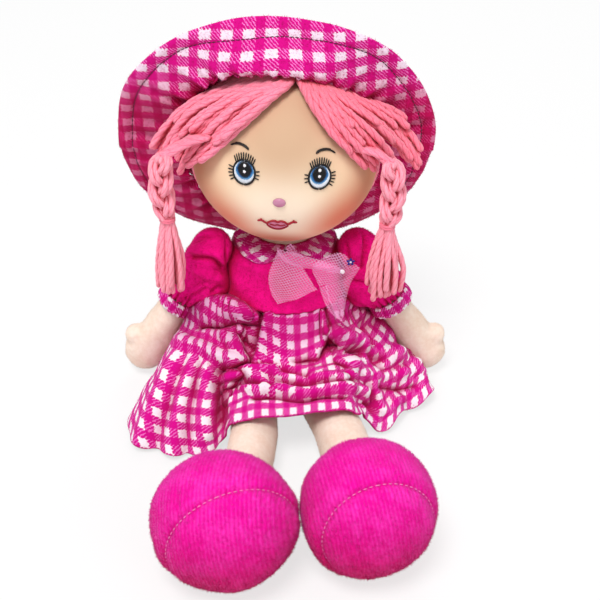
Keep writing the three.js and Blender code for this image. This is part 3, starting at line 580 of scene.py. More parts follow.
# A darker copy of the hair's yarn: painted shade for the fringe on the right.
shaded_yarn = yarn("yarn_pink_painted_shade", "ff93a8", "f46e88", "cb405c")
braid_yarn = yarn("yarn_pink_braid", "ffb4c4", "ff8ba2", "e65a76")
band_thread = thread("wound_yarn_pink", "f07e95", 0.9, 0.3)
seam_thread = thread("thread_bright_pink", "f58ac6")
print("materials:", len(bpy.data.materials))

# %% [markdown]
# The floor is white paper. To the camera and to reflections most of its white comes from itself, so
# the picture's ground is even, and the rest takes the light, which keeps the doll's soft shadow.

# %%
OWN_WHITE = 0.72

floor_paint, floor_tree, floor_shader = start_material("studio_paper_white", 0.9)
floor_shader.inputs["Base Color"].default_value = linear("f2f2f2")
ray = add_node(floor_tree, "ShaderNodeLightPath")
direct = calc(floor_tree, "ADD", ray.outputs["Is Camera Ray"], ray.outputs["Is Glossy Ray"])
direct = calc(floor_tree, "ADD", direct, ray.outputs["Is Transmission Ray"], clamp=True)
glow = add_node(floor_tree, "ShaderNodeEmission", {"Color": linear("fdfdfd"), "Strength": 1.0})
mixed = add_node(floor_tree, "ShaderNodeMixShader", {
    0: calc(floor_tree, "MULTIPLY", direct, OWN_WHITE),
    1: floor_shader.outputs[0], 2: glow.outputs[0],
})
paint_out = next(n for n in floor_tree.nodes if n.type == "OUTPUT_MATERIAL")
floor_tree.links.new(mixed.outputs[0], paint_out.inputs["Surface"])
floor_mesh = bpy.data.meshes.new("studio_floor")
corners = [(x * FLOOR_HALF, y * FLOOR_HALF, 0) for x, y in ((-1, -1), (1, -1), (1, 1), (-1, 1))]
floor_mesh.from_pydata(corners, [], [(0, 1, 2, 3)])
floor_mesh.materials.append(floor_paint)
floor = add_object("studio_floor", floor_mesh)

# %% [markdown]
# ## Nap, stitches and softened solids
#
# Brushed cloth and plush have fibres that stand off the surface and catch the light along an edge.
# Geometry Nodes scatter them: each fibre is a thin three-sided cone, turned to the surface's normal
# plus a lean. The flat pattern of the cloth goes with each fibre, so it has its thread's colour.

# %%
def new_tree(name, sockets):
    """An empty geometry tree, its group input and a dictionary of the input identifiers."""
    tree = bpy.data.node_groups.new(name, "GeometryNodeTree")
    tree.interface.new_socket("Geometry", in_out="INPUT", socket_type="NodeSocketGeometry")
    names = {}
    for label, kind, value in sockets:
        socket = tree.interface.new_socket(label, in_out="INPUT", socket_type="NodeSocket" + kind)
        if value is not None:
            socket.default_value = value
        names[label] = socket.identifier
    tree.interface.new_socket("Geometry", in_out="OUTPUT", socket_type="NodeSocketGeometry")
    return tree, tree.nodes.new("NodeGroupInput").outputs, names


def end_tree(tree, geometry, material):
    """Realizes the instances, sets the material and hands the geometry out."""
    real = add_node(tree, "GeometryNodeRealizeInstances", {"Geometry": geometry})
    painted = add_node(tree, "GeometryNodeSetMaterial", {
        "Geometry": real.outputs[0], "Material": material,
    })
    add_node(tree, "NodeGroupOutput", {"Geometry": painted.outputs[0]})


def aimed_along(tree, vector):
    """The rotation that turns +Z to the vector."""
    node = add_node(tree, "FunctionNodeAlignRotationToVector", {"Vector": vector}, axis="Z")
    return node.outputs[0]


def worked(piece, tree, names, **values):
    """The piece with a geometry tree worked in. The values are the tree's inputs by name."""
    modifier = piece.modifiers.new(tree.name, "NODES")
    modifier.node_group = tree
    for label, value in values.items():
        modifier[names[label.replace("_", " ")]] = value
    return smoothed(applied(piece))


nap_tree, given, NAP = new_tree("nap", [
    ("Density", "Float", 1e6), ("Fibre Length", "Float", 0.001), ("Fibre Radius", "Float", 0.00012),
    ("Lean", "Float", 0.6), ("Comb", "Vector", (0, 0, 0)), ("Seed", "Int", 1),
    ("Material", "Material", None),
])
scatter = add_node(nap_tree, "GeometryNodeDistributePointsOnFaces", {
    "Mesh": given["Geometry"], "Density": given["Density"], "Seed": given["Seed"],
})
fibre = add_node(nap_tree, "GeometryNodeMeshCone", {
    "Vertices": 3, "Radius Top": 0.0, "Radius Bottom": given["Fibre Radius"],
    "Depth": given["Fibre Length"],
}, fill_type="NONE")
spread = add_node(nap_tree, "FunctionNodeRandomValue", {
    0: (-1.0, -1.0, -1.0), 1: (1.0, 1.0, 1.0), "Seed": given["Seed"],
}, data_type="FLOAT_VECTOR")
leant = vector_calc(nap_tree, "SCALE", spread.outputs[0], given["Lean"])
leant = vector_calc(nap_tree, "ADD", leant, scatter.outputs["Normal"])
leant = vector_calc(nap_tree, "ADD", leant, given["Comb"])
size = add_node(nap_tree, "FunctionNodeRandomValue", {
    2: 0.5, 3: 1.2, "Seed": given["Seed"],
}, data_type="FLOAT")
planted = add_node(nap_tree, "GeometryNodeInstanceOnPoints", {
    "Points": scatter.outputs["Points"], "Instance": fibre.outputs["Mesh"],
    "Rotation": aimed_along(nap_tree, leant), "Scale": size.outputs[1],
})
both = add_node(nap_tree, "GeometryNodeJoinGeometry", {"Geometry": planted.outputs[0]})
nap_tree.links.new(given["Geometry"], both.inputs[0])
end_tree(nap_tree, both.outputs[0], given["Material"])


def napped(piece, per_mm2, length_mm, radius_mm, lean, seed, comb=(0, 0, 0)):
    """The piece with fibres all over it."""
    return worked(piece, nap_tree, NAP, Density=per_mm2 * 1e6, Fibre_Length=length_mm * MM,
                  Fibre_Radius=radius_mm * MM, Lean=lean, Comb=comb, Seed=seed,
                  Material=piece.data.materials[0])


# %% [markdown]
# A sewn line is short stitches with gaps between them. Each stitch is a small bead of thread, drawn
# out along the line.

# %%
stitch_tree, given, STITCH = new_tree("stitches", [
    ("Pitch", "Float", 0.003), ("Stitch Length", "Float", 0.002),
    ("Thread Radius", "Float", 0.0003), ("Material", "Material", None),
])
line = add_node(stitch_tree, "GeometryNodeMeshToCurve", {"Mesh": given["Geometry"]})
even = add_node(stitch_tree, "GeometryNodeResampleCurve", {
    "Curve": line.outputs[0], "Length": given["Pitch"],
}, mode="LENGTH")
tangent = add_node(stitch_tree, "GeometryNodeInputTangent")
bead = add_node(stitch_tree, "GeometryNodeMeshUVSphere", {"Segments": 6, "Rings": 5, "Radius": 1.0})
shape = add_node(stitch_tree, "ShaderNodeCombineXYZ", {
    0: given["Thread Radius"], 1: given["Thread Radius"],
    2: calc(stitch_tree, "MULTIPLY", given["Stitch Length"], 0.5),
})
sewn = add_node(stitch_tree, "GeometryNodeInstanceOnPoints", {
    "Points": even.outputs[0], "Instance": bead.outputs["Mesh"],
    "Rotation": aimed_along(stitch_tree, tangent.outputs[0]), "Scale": shape.outputs[0],
})
end_tree(stitch_tree, sewn.outputs[0], given["Material"])


def stitches(name, path, material, pitch, length, radius, closed=False):
    """A sewn line along a path of points in millimetres."""
    count = len(path)
    mesh = bpy.data.meshes.new(name)
    edges = [(i, i + 1) for i in range(count - 1)] + ([(count - 1, 0)] if closed else [])
    mesh.from_pydata((np.asarray(path) * MM).tolist(), edges, [])
    return worked(add_object(name, mesh), stitch_tree, STITCH, Pitch=pitch * MM,
                  Stitch_Length=length * MM, Thread_Radius=radius * MM, Material=material)


# %% [markdown]
# Stuffed limbs start as a copy of their CAD solid. A voxel remesh gives it even faces, smoothing
# takes the facets off, as stuffing rounds sewn cloth, and soft lumps make it uneven.

# %%
def softened(node, name, voxel, rounds, material):
    """A smooth copy of a CAD solid."""
    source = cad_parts[node]
    mesh = source.data.copy()
    mesh.transform(source.matrix_world)
    work = bmesh.new()
    work.from_mesh(mesh)
    bmesh.ops.remove_doubles(work, verts=work.verts, dist=1e-5)
    work.to_mesh(mesh)
    work.free()
    mesh.materials.clear()
    mesh.materials.append(material)
    copy = add_object(name, mesh)
    remesh = copy.modifiers.new("remesh", "REMESH")
    remesh.mode = "VOXEL"
    remesh.voxel_size = voxel * MM
    smooth = copy.modifiers.new("smooth", "SMOOTH")
    smooth.iterations = rounds
    smooth.factor = 0.5
    return smoothed(applied(copy))


def vectors_of(items, key):
    """One vector of each item, as the rows of an array."""
    flat = np.empty(len(items) * 3, np.float32)
    items.foreach_get(key, flat)
    return flat.reshape(-1, 3).astype(float)


def set_points(piece, points):
    piece.data.vertices.foreach_set("co", (np.asarray(points) * MM).astype(np.float32).ravel())
    piece.data.update()


def lumps(points, scale, seed):
    """Soft unevenness, mostly between -1 and 1, from a few waves that cross."""
    wild = np.random.default_rng(seed)
    out = np.zeros(len(points))
    for _ in range(7):
        way = wild.normal(size=3)
        way /= np.linalg.norm(way)
        out += np.sin(points @ way * TAU / (scale * wild.uniform(0.7, 1.5)) + wild.uniform(0, TAU))
    return out / 3.5


def lumpy_points(piece, height, scale, seed):
    """The piece's points in millimetres, moved out and in by lumps."""
    points = vectors_of(piece.data.vertices, "co") / MM
    out = vectors_of(piece.data.vertex_normals, "vector")
    return points + out * (height * lumps(points, scale, seed))[:, None]


# %% [markdown]
# Folds that the photograph shows are placed where the camera sees them, each along its own line.

# %%
def seen_at(points):
    """Where the camera sees each point, in pixels across and down the picture."""
    away = points - (CAMERA_TARGET + TO_CAMERA * CAMERA_DISTANCE)
    scale = FOCAL_PIXELS / -(away @ TO_CAMERA)
    across = FRAME_PIXELS / 2 - SHIFT_PIXELS + away[..., 0] * scale
    return np.stack([across, FRAME_PIXELS / 2 - away @ PICTURE_UP * scale], axis=-1)


def fold_height(seen, high, left, right, line):
    """The height of one fold at each seen place. It reaches left and right of its line."""
    nearest = np.full(seen.shape[:2], np.inf)
    on_right = np.zeros(seen.shape[:2], bool)
    way = curve_through(line, 16)
    for start, end in zip(way[:-1], way[1:]):
        step = end - start
        off = seen - start
        share = np.clip(off @ step / (step @ step), 0, 1)
        gap = np.linalg.norm(off - share[..., None] * step, axis=-1)
        closer = gap < nearest
        nearest = np.where(closer, gap, nearest)
        past = step[0] * off[..., 1] - step[1] * off[..., 0] > 0
        on_right = np.where(closer, past, on_right)
    return high * np.exp(-(nearest / np.where(on_right, right, left)) ** 2)

# %% [markdown]
# ## Head
#
# A stuffed oval, narrower at the chin, tilted back and rolled a little. The cheeks are blushed and
# the forehead and sides get painted shade by place on the head.

# %%
HEAD_HALF = np.array((60.0, 50.0, 53.5))
CHIN_SHARE = 0.1
HEAD_PLACE = np.array((0.0, 10.303, 172.8))
HEAD_TILT = math.radians(-9)
HEAD_ROLL = math.radians(3)
tilt_matrix = np.array([
    (1, 0, 0),
    (0, math.cos(HEAD_TILT), -math.sin(HEAD_TILT)),
    (0, math.sin(HEAD_TILT), math.cos(HEAD_TILT)),
])
roll_matrix = np.array([
    (math.cos(HEAD_ROLL), 0, math.sin(HEAD_ROLL)),
    (0, 1, 0),
    (-math.sin(HEAD_ROLL), 0, math.cos(HEAD_ROLL)),
])
HEAD_MATRIX = tilt_matrix @ roll_matrix


def from_head(points):
    return HEAD_PLACE + np.asarray(points, float) @ HEAD_MATRIX.T


def into_head(points):
    return (np.asarray(points, float) - HEAD_PLACE) @ HEAD_MATRIX


def head_point(turn, climb, grown=0.0):
    """A point of the head's skin in its own frame, or off the skin by grown."""
    low = np.maximum(0, -np.sin(climb))
    narrow = 1 - CHIN_SHARE * low * low
    half = HEAD_HALF + grown
    return np.stack(np.broadcast_arrays(
        half[0] * narrow * np.cos(climb) * np.sin(turn),
        -half[1] * np.cos(climb) * np.cos(turn),
        half[2] * np.sin(climb),
    ), axis=-1)


def on_face(x, z, grown):
    """A point of the face's skin over x and z in the head's own frame."""
    x, z = np.broadcast_arrays(np.asarray(x, float), np.asarray(z, float))
    half = HEAD_HALF + grown
    rise = np.clip(z / half[2], -0.99, 0.99)
    around = np.sqrt(1 - rise ** 2)
    narrow = 1 - CHIN_SHARE * np.maximum(0, -rise) ** 2
    turn = np.clip(x / (half[0] * narrow * around), -0.99, 0.99)
    return np.stack([x, -half[1] * around * np.sqrt(1 - turn ** 2), z], axis=-1)


def head_skin():
    """Cream cloth, blushed low on the cheeks, with painted shade on the forehead and sides."""
    material, tree, shader = start_material("cream_cloth_painted_shade", 0.75, 0.25, "fff2e0", 0.4)
    place = place_in_mm(tree)

    def near(centre, inner, outer, most):
        """Most within the inner reach of a place on the head, and 0 beyond the outer one."""
        gap = add_node(tree, "ShaderNodeVectorMath", {0: place, 1: tuple(from_head(centre))},
                       operation="DISTANCE")
        return calc(tree, "MULTIPLY", ramp_between(tree, gap.outputs["Value"], outer, inner), most)

    # Painted shade on the forehead, under the hat's brim.
    tones = [((-3, -34, 30), 14, 50, 0.95, "c8a486")]
    # Painted shade on both sides of the face, deeper on the left, and blush low on each cheek.
    for side, side_shade_tone in ((-1, "b97048"), (1, "c8855c")):
        tones.append(((side * 70 - 3, -4, -8), 20, 54, 0.9, side_shade_tone))
        tones.append(((side * 38 - 1, -30, -31 + 4 * side), 2, 34, 0.75, "e0603e"))
    tones.append(((-3, -22, -58), 14, 34, 0.95, "b85a38"))
    middle = near((-3, -46, -14), 10, 42, 0.85)
    colour = blend_colour(tree, middle, linear("efd2ae"), linear("fff0d8"))
    for *place_and_reach, tone in tones:
        colour = blend_colour(tree, near(*place_and_reach), colour, linear(tone))
    tree.links.new(colour, shader.inputs["Base Color"])
    weave = calc(tree, "ADD", noise(tree, place, 1.6, 2.0), noise(tree, place, 0.25, 1.0))
    set_bump(tree, shader, weave, 0.12, 0.5)
    return material


HEAD_ROWS, HEAD_COLUMNS = 71, 120
climbs = np.linspace(-math.pi / 2, math.pi / 2, HEAD_ROWS + 2)[1:-1]
rings = head_point(turns_round(HEAD_COLUMNS)[None, :], climbs[:, None])
poles = np.array([(0, 0, -HEAD_HALF[2]), (0, 0, HEAD_HALF[2])])
points = from_head(np.vstack([rings.reshape(-1, 3), poles]))
head = make_piece("head_skin", points, ball_faces(HEAD_ROWS, HEAD_COLUMNS), head_skin())
outward(head)
dress(head, "head", "skin_plush", "head")

# %% [markdown]
# ## Face
#
# The features are satin stitch: side by side threads, laid over the skin. An eye is a stack of
# ovals, each filled with upright threads, inside a cord of black stitches with lashes round it.

# %%
THREAD_PITCH = 0.42
FILL_STEPS = 60
THREAD_ARCH = 0.15
face_threads = []


def stitched(name, paths, radius, colour, roughness, sides, taper):
    """Threads along the paths, in a thread of their own."""
    material = thread(name + "_thread", colour, roughness)
    piece = tubes(name, paths, radius, material, sides=sides, taper=taper)
    face_threads.append(piece)
    return piece


def stitch_fill(name, inside, box, colour, rise, roughness=0.5):
    """Upright threads that fill a shape. inside(x, z) is true in the shape, and box bounds it."""
    left, right, low, high = box
    run = np.linspace(low, high, FILL_STEPS)
    paths = []
    for x in np.arange(left, right, THREAD_PITCH):
        keep = inside(np.full(FILL_STEPS, x), run)
        marks = np.flatnonzero(np.diff(np.r_[0, keep.astype(int), 0]))
        for begin, end in zip(marks[::2], marks[1::2]):
            if end - begin < 3:
                continue
            span = np.linspace(run[begin], run[end - 1], max(4, (end - begin) // 5))
            path = on_face(x, span, rise)
            path[:, 1] -= np.sin(np.linspace(0, math.pi, len(span))) * THREAD_ARCH
            paths.append(from_head(path))
    return stitched(name, paths, THREAD_PITCH * 0.62, colour, roughness, 5, 0.5)


def stitch_line(name, lines, radius, colour, rise=0.4):
    """Round stitched lines over the face, each given by its x and z points."""
    paths = []
    for line in lines:
        flat = curve_through(line, max(4, len(line) * 6))
        paths.append(from_head(on_face(flat[:, 0], flat[:, 1], rise)))
    return stitched(name, paths, radius, colour, 0.5, 6, 0.8)


def oval(cx, cz, half_x, half_z):
    return lambda x, z: ((x - cx) / half_x) ** 2 + ((z - cz) / half_z) ** 2 < 1


EYES = {"left": (-25.4, 6.7), "right": (20.9, 6.6)}
EYE_HALF_X, EYE_HALF_Z = 6.7, 7.6
# The ovals of the iris: how far up, the half widths, the colour, the rise and the roughness.
IRIS = {
    "ring": (0.0, 5.7, 6.3, "5a9fd0", 0.4, 0.5),
    "iris": (0.5, 5.2, 5.7, "2a6cab", 0.55, 0.5),
    "deep": (0.9, 4.6, 5.3, "17406c", 0.7, 0.5),
    "pupil": (1.0, 4.1, 5.3, "08080a", 0.85, 0.4),
}
GLINT_ASIDE = {"left": 0.1, "right": -0.2}
BLACK_BROWN = "120e0d"

for name, side in SIDES.items():
    cx, cz = EYES[name]
    iris_x, iris_z = cx - side * 0.3, cz + 1.0
    box = (cx - EYE_HALF_X, cx + EYE_HALF_X, cz - EYE_HALF_Z, cz + EYE_HALF_Z)
    eye = oval(cx, cz, EYE_HALF_X, EYE_HALF_Z)
    pieces = [stitch_fill(f"eye_{name}_white", eye, box, "e3e9f1", 0.25)]
    for part, (up, half_x, half_z, *finish) in IRIS.items():
        shape = oval(iris_x, iris_z + up, half_x, half_z)
        pieces.append(stitch_fill(f"eye_{name}_{part}", shape, box, *finish))
    high, low = (oval(cx + GLINT_ASIDE[name], iris_z + up, 0.95, 1.25) for up in (3.4, -0.3))
    pieces.append(stitch_fill(f"eye_{name}_glint", lambda x, z: high(x, z) | low(x, z), box,
                              "f7f7fa", 1.15))
    turn = np.linspace(0, TAU, 49)
    rim = np.stack([cx + EYE_HALF_X * np.sin(turn), cz + EYE_HALF_Z * np.cos(turn)], axis=-1)
    pieces.append(stitch_line(f"eye_{name}_rim", [rim[:25], rim[24:]], 0.68, BLACK_BROWN))
    # The lashes fan out over the eye, and are shorter beside it: turns from the top and lengths.
    angles = [(a, 4.3) for a in np.linspace(-48, 48, 10)]
    angles += [(side * a, 3.4) for a in (76, 88, 100, 112, 124)]
    angles += [(-side * a, 3.0) for a in (80, 94, 108)]
    lashes = []
    for degrees, length in angles:
        a = math.radians(degrees)
        foot = (cx + EYE_HALF_X * math.sin(a), cz + EYE_HALF_Z * math.cos(a))
        lean = a * 0.45 if abs(degrees) < 60 else a
        tip = (foot[0] + length * math.sin(lean), foot[1] + length * math.cos(lean))
        middle = ((foot[0] + tip[0]) / 2, (foot[1] + tip[1]) / 2)
        lashes.append([foot, middle, tip])
    pieces.append(stitch_line(f"eye_{name}_lashes", lashes, 0.44, BLACK_BROWN, 0.3))
    dress(pieces[0], "head", "eye_thread", f"eye_{name}")
    for piece in pieces[1:]:
        dress(piece, "head", "eye_thread")

brows = {
    "left": [(-34.4, 20.9), (-31.7, 22.2), (-28.5, 22.5), (-25.6, 21.8), (-23.1, 20.3)],
    "right": [(17.8, 20.6), (20.2, 22.0), (23.6, 22.5), (27.0, 21.8), (29.8, 20.1)],
}
for name, line in brows.items():
    inner = line[1:] if name == "left" else line[:-1]
    upper = [(x, z + 0.55) for x, z in inner]
    piece = stitch_line(f"brow_{name}_line", [line, upper], 0.62, "1a1210")
    dress(piece, "head", "brow_thread", f"brow_{name}")

NOSE = (-3.0, -10.6)
NOSE_HALF_X, NOSE_HALF_Z, NOSE_DEPTH = 4.1, 3.2, 2.2
NOSE_ROWS, NOSE_COLUMNS = 12, 28
turn = turns_round(NOSE_COLUMNS)
rows = []
for share in np.linspace(0.02, 1, NOSE_ROWS):
    x = NOSE[0] + NOSE_HALF_X * share * np.sin(turn)
    ring = on_face(x, NOSE[1] + NOSE_HALF_Z * share * np.cos(turn), 0.1)
    ring[:, 1] -= NOSE_DEPTH * math.sqrt(max(0, 1 - share ** 2))
    rows.append(from_head(ring))
satin, satin_tree, satin_shader = start_material("satin_mauve", 0.24, 0.2)
satin_shader.inputs["Base Color"].default_value = linear("c07c9c")
satin_shader.inputs["Specular IOR Level"].default_value = 0.8
stretched = vector_calc(satin_tree, "MULTIPLY", place_of(satin_tree), (3000.0, 100.0, 100.0))
set_bump(satin_tree, satin_shader, noise(satin_tree, stretched, 0.8, 1.0), 0.1)
faces = capped_faces(NOSE_ROWS, NOSE_COLUMNS)
nose = outward(make_piece("nose_satin", np.vstack(rows), faces, satin))
dress(nose, "head", "nose_satin", "nose")

LIPS = (-3.3, -27.6)
LIP_HALF, LIP_HEIGHT = 6.9, 3.6


def upper_lip(u):
    """The upper edge of the lips, with its two peaks, over u from -1 to 1."""
    return (1 - np.abs(u) ** 1.8) * (0.82 + 0.5 * np.abs(u)) - 0.25 * np.exp(-(u / 0.2) ** 2)


def inside_lips(x, z):
    u = (x - LIPS[0]) / LIP_HALF
    w = (z - LIPS[1]) / LIP_HEIGHT
    bottom = -1.05 * (1 - np.clip(np.abs(u), 0, 1) ** 2.2)
    return (np.abs(u) < 1) & (w < upper_lip(u)) & (w > bottom)


lip_x = LIPS[0] + LIP_HALF * np.cos(np.linspace(0, 1, 40) * math.pi)
u = (lip_x - LIPS[0]) / LIP_HALF
upper_z = LIPS[1] + LIP_HEIGHT * upper_lip(u)
lower_z = LIPS[1] - 3.8 * (1 - np.abs(u) ** 2.2)
lips = stitch_fill("lips_fill", inside_lips, (-10.3, 3.7, -32, -23), "e690b0", 0.35)
middle = [(LIPS[0] + x, LIPS[1] + z)
          for x, z in ((-5.2, 0.3), (-2, -0.5), (0, 0), (2, -0.5), (5.2, 0.3))]
# The lips' outline, the line between them and a small cross stitch at each corner.
smile = [
    np.stack([lip_x, upper_z], axis=-1), np.stack([lip_x, lower_z], axis=-1), middle,
    [(-10.0, -27.2), (-11.8, -26.2), (-13.6, -25.2), (-16.0, -26.0)],
    [(-13.9, -23.8), (-13.6, -25.0), (-13.4, -26.2)],
    [(3.4, -27.2), (5.0, -25.8), (6.8, -24.9), (9.0, -25.4)],
    [(6.6, -23.4), (6.9, -24.8), (7.2, -26.0)],
]
mouth = stitch_line("mouth_line", smile, 0.75, "9c1428", 0.5)
dress(lips, "head", "lip_thread", "mouth")
dress(mouth, "head", "lip_thread")
print("face pieces:", len(face_threads))

# %% [markdown]
# ## Hair
#
# Plied yarn is swept from a parting to both sides of the face in three layers. Guide lines give the
# sweep, and each strand lies between two of them.

# %%
YARN_RADIUS = 2.4
YARN_TWIST = 26
GUIDE_POINTS, STRAND_POINTS = 24, 64
# The layers: strands, lift, length, and the first guide and the span of guides as shares.
LAYERS = [(14, 0.4, 0.94, 0.0, 1.0), (12, 3.6, 0.92, 0.0, 1.0), (7, 6.8, 0.78, 0.25, 0.7)]
rng = np.random.default_rng(7)

SWEEP = {
    "left": [
        [(5, 16, 233), (4, 1, 231), (-7, -12, 226), (-20, -21, 216),
         (-34, -26, 204), (-47, -26, 193)],
        [(0, 17, 234), (-1, 3, 232), (-18, -10, 226), (-37, -18, 212),
         (-50, -20, 197), (-60, -18, 183)],
        [(-9, 19, 233), (-14, 7, 231), (-33, -4, 222), (-53, -8, 206),
         (-66, -6, 188), (-71, -8, 172)],
        [(-19, 22, 230), (-25, 11, 228), (-46, 4, 217), (-64, 2, 200),
         (-75, -2, 184), (-83, -6, 172)],
        [(-32, 30, 224), (-40, 24, 221), (-58, 16, 211), (-72, 8, 198),
         (-82, 2, 186), (-89, -3, 177)],
    ],
    "right": [
        [(6, 16, 233), (8, 2, 231), (14, -17, 223), (24, -27, 211), (36, -29, 199), (47, -28, 187)],
        [(9, 17, 233), (13, 4, 230), (24, -13, 222), (40, -21, 207),
         (53, -21, 191), (63, -16, 179)],
        [(16, 19, 231), (23, 6, 228), (37, -7, 218), (54, -11, 203), (66, -6, 188), (74, -6, 174)],
        [(28, 22, 226), (37, 10, 221), (53, 6, 208), (67, 4, 196), (77, 0, 184), (84, -3, 174)],
        [(40, 30, 217), (51, 24, 210), (64, 16, 202), (75, 8, 194), (83, 2, 185), (88, -2, 178)],
    ],
}


def head_out(points):
    """The way out of the head at each point."""
    local = into_head(points) / HEAD_HALF ** 2
    local /= np.linalg.norm(local, axis=-1, keepdims=True)
    return local @ HEAD_MATRIX.T


def swept(guides, share, lift, length_share):
    """A strand between two guides, lifted off the head."""
    at = share * (len(guides) - 1)
    k = min(int(at), len(guides) - 2)
    first, second = (curve_through(g, GUIDE_POINTS) for g in guides[k:k + 2])
    path = first + (second - first) * (at - k)
    rise = lift * smoothstep(4, 14, np.arange(GUIDE_POINTS))[:, None]
    path = path + head_out(path) * rise
    return curve_through(path[:max(6, int(GUIDE_POINTS * length_share))], STRAND_POINTS)


for name, guides in SWEEP.items():
    paths = []
    for strands, lift, length, first, span in LAYERS:
        for i in range(strands):
            share = np.clip((i + 0.5) / strands + rng.normal(0, 0.018), 0, 1)
            reach = length + rng.uniform(-0.17, 0.12)
            share = first + span * share
            path = swept(guides, share, lift + rng.normal(0, 0.4), min(1, reach))
            sway = np.cumsum(rng.normal(0, 0.2, (STRAND_POINTS, 3)), axis=0)
            paths.append(path + sway * np.linspace(0, 1, STRAND_POINTS)[:, None])
    # The fringe on the right takes the copy of the yarn with painted shade.
    fringe = tubes(f"fringe_{name}_yarn", paths, YARN_RADIUS,
                   hair_yarn if name == "left" else shaded_yarn, sides=12, twist=YARN_TWIST)
    dress(fringe, "head", "yarn", f"fringe_{name}")

# %% [markdown]
# Behind the parting the yarn is sewn over the head in rows from the crown to the nape.

# %%
CAP_STRANDS, CAP_POINTS = 46, 34
rows = []
for i in range(CAP_STRANDS):
    turn = math.radians(98 + 164 * (i + 0.5) / CAP_STRANDS)
    climb = np.radians(np.linspace(58, -37, CAP_POINTS))
    wander = np.cumsum(rng.normal(0, 0.004, CAP_POINTS))
    rows.append(from_head(head_point(turn + wander, climb, 2.0)))
cap = tubes("hair_cap_yarn", rows, YARN_RADIUS + 0.15, hair_yarn, sides=9, twist=YARN_TWIST)
dress(cap, "head", "yarn", "hair_cap")

# %% [markdown]
# Each braid is three bundles of yarn that cross in turn, wound with a band above a loose tassel.
# Strands from under the fringe hold its top.

# %%
BRAIDS = {
    "left": np.array((-74.2, -32.4, 195.5)),
    "right": np.array((64.6, -33.5, 191.5)),
}
BRAID_LENGTH = 38.0
BRAID_RADIUS = 2.0
BRAID_TWIST = 24
BUNDLES, BUNDLE_STRANDS = 3, 4
TASSEL_LENGTH = 56.0
TASSEL_STRANDS = 24
TASSEL_SPREAD = {"left": 6.6, "right": 9.2}
GOLDEN_ANGLE = 2.39996
ROOT_STARTS = {"left": (-45.0, -22.0, 206.0), "right": (38.0, -24.0, 200.0)}

for name, side in SIDES.items():
    top = BRAIDS[name]
    body = f"braid_{name}"
    paths = []
    for k in range(7):
        first = np.array(ROOT_STARTS[name]) + np.array((side * 1.3, 2.6, -0.8)) * k
        last = top + np.array((2.4 * math.cos(k * 0.9), 1.8 * math.sin(k * 0.9), 2.5))
        middle = (first + last) / 2 + np.array((0, -1.0, 2.5))
        paths.append(curve_through([first, middle, last], 30))
    roots = tubes(f"braid_root_{name}_yarn", paths, BRAID_RADIUS, hair_yarn, sides=9,
                  twist=BRAID_TWIST)
    dress(roots, "head", "yarn")

    run = np.linspace(0, 1, 60)
    swell = smoothstep(-0.1, 0.15, run) * (1 - 0.55 * smoothstep(0.78, 1.0, run))
    paths = []
    for bundle in range(BUNDLES):
        phase = run * TAU + bundle * TAU / BUNDLES + side * 0.6
        core = np.stack([
            top[0] + side * 2.4 * np.sin(math.pi * run) + 4.3 * np.sin(phase) * swell,
            top[1] + 3.0 * np.sin(2 * phase) * swell,
            top[2] + 4 - (BRAID_LENGTH + 8) * run,
        ], axis=-1)
        for k in range(BUNDLE_STRANDS):
            spin = run * 0.5 * TAU + k * TAU / BUNDLE_STRANDS
            round_core = np.stack([np.cos(spin), np.sin(spin), 0 * spin], axis=-1) * 2.2
            paths.append(core + round_core * (0.2 + 0.8 * swell)[:, None])
    braid = tubes(f"braid_{name}_yarn", paths, BRAID_RADIUS, braid_yarn, sides=10,
                  twist=BRAID_TWIST)
    dress(braid, body, "yarn", f"braid_{name}")

    band_z = top[2] - BRAID_LENGTH - 3
    winds = np.linspace(0, 2.4 * TAU, 120)
    wound = np.stack([
        top[0] + 4.3 * np.cos(winds), top[1] + 4.1 * np.sin(winds),
        band_z + 1.5 - 3.4 * winds / winds[-1],
    ], axis=-1)
    band = tubes(f"hair_band_{name}", [wound], 0.95, band_thread, sides=7)
    dress(band, body, "hair_band", f"hair_tie_{name}")

    down = np.linspace(0, 1, 44)
    paths = []
    for k in range(TASSEL_STRANDS):
        reach = math.sqrt((k + 0.5) / TASSEL_STRANDS)
        angle = k * GOLDEN_ANGLE + rng.uniform(-0.2, 0.2)
        length = TASSEL_LENGTH * (1 - 0.05 * reach + rng.uniform(-0.15, 0.03))
        fan = TASSEL_SPREAD[name] * reach + rng.uniform(-0.6, 0.6)
        open_out = 2.6 * reach + fan * smoothstep(0, 0.75, down) ** 0.8
        open_out = open_out * (1 - 0.14 * smoothstep(0.7, 1.0, down) * rng.uniform(0, 1))
        bend = rng.uniform(-2.4, 2.4) * smoothstep(0.2, 1, down)
        bend = bend + rng.uniform(-0.7, 0.7) * np.sin(7 * down)
        paths.append(np.stack([
            top[0] + open_out * math.cos(angle) + bend,
            top[1] + open_out * math.sin(angle) * 0.7,
            band_z + 2.5 - (length + 4) * down,
        ], axis=-1))
    tassel = tubes(f"tassel_{name}_yarn", paths, 2.05, braid_yarn, sides=11, twist=BRAID_TWIST)
    dress(tassel, body, "yarn", f"tassel_{name}")

# %% [markdown]
# ## Sun hat
#
# The brim is two layers of brushed check, sewn together, turned and topstitched with dark thread
# near its edge. It is a puffed ring: thin at the stitch line, full in the rolled edge, and gathered
# where it meets the crown. The check follows the flat cloth, so it bends with the folds.

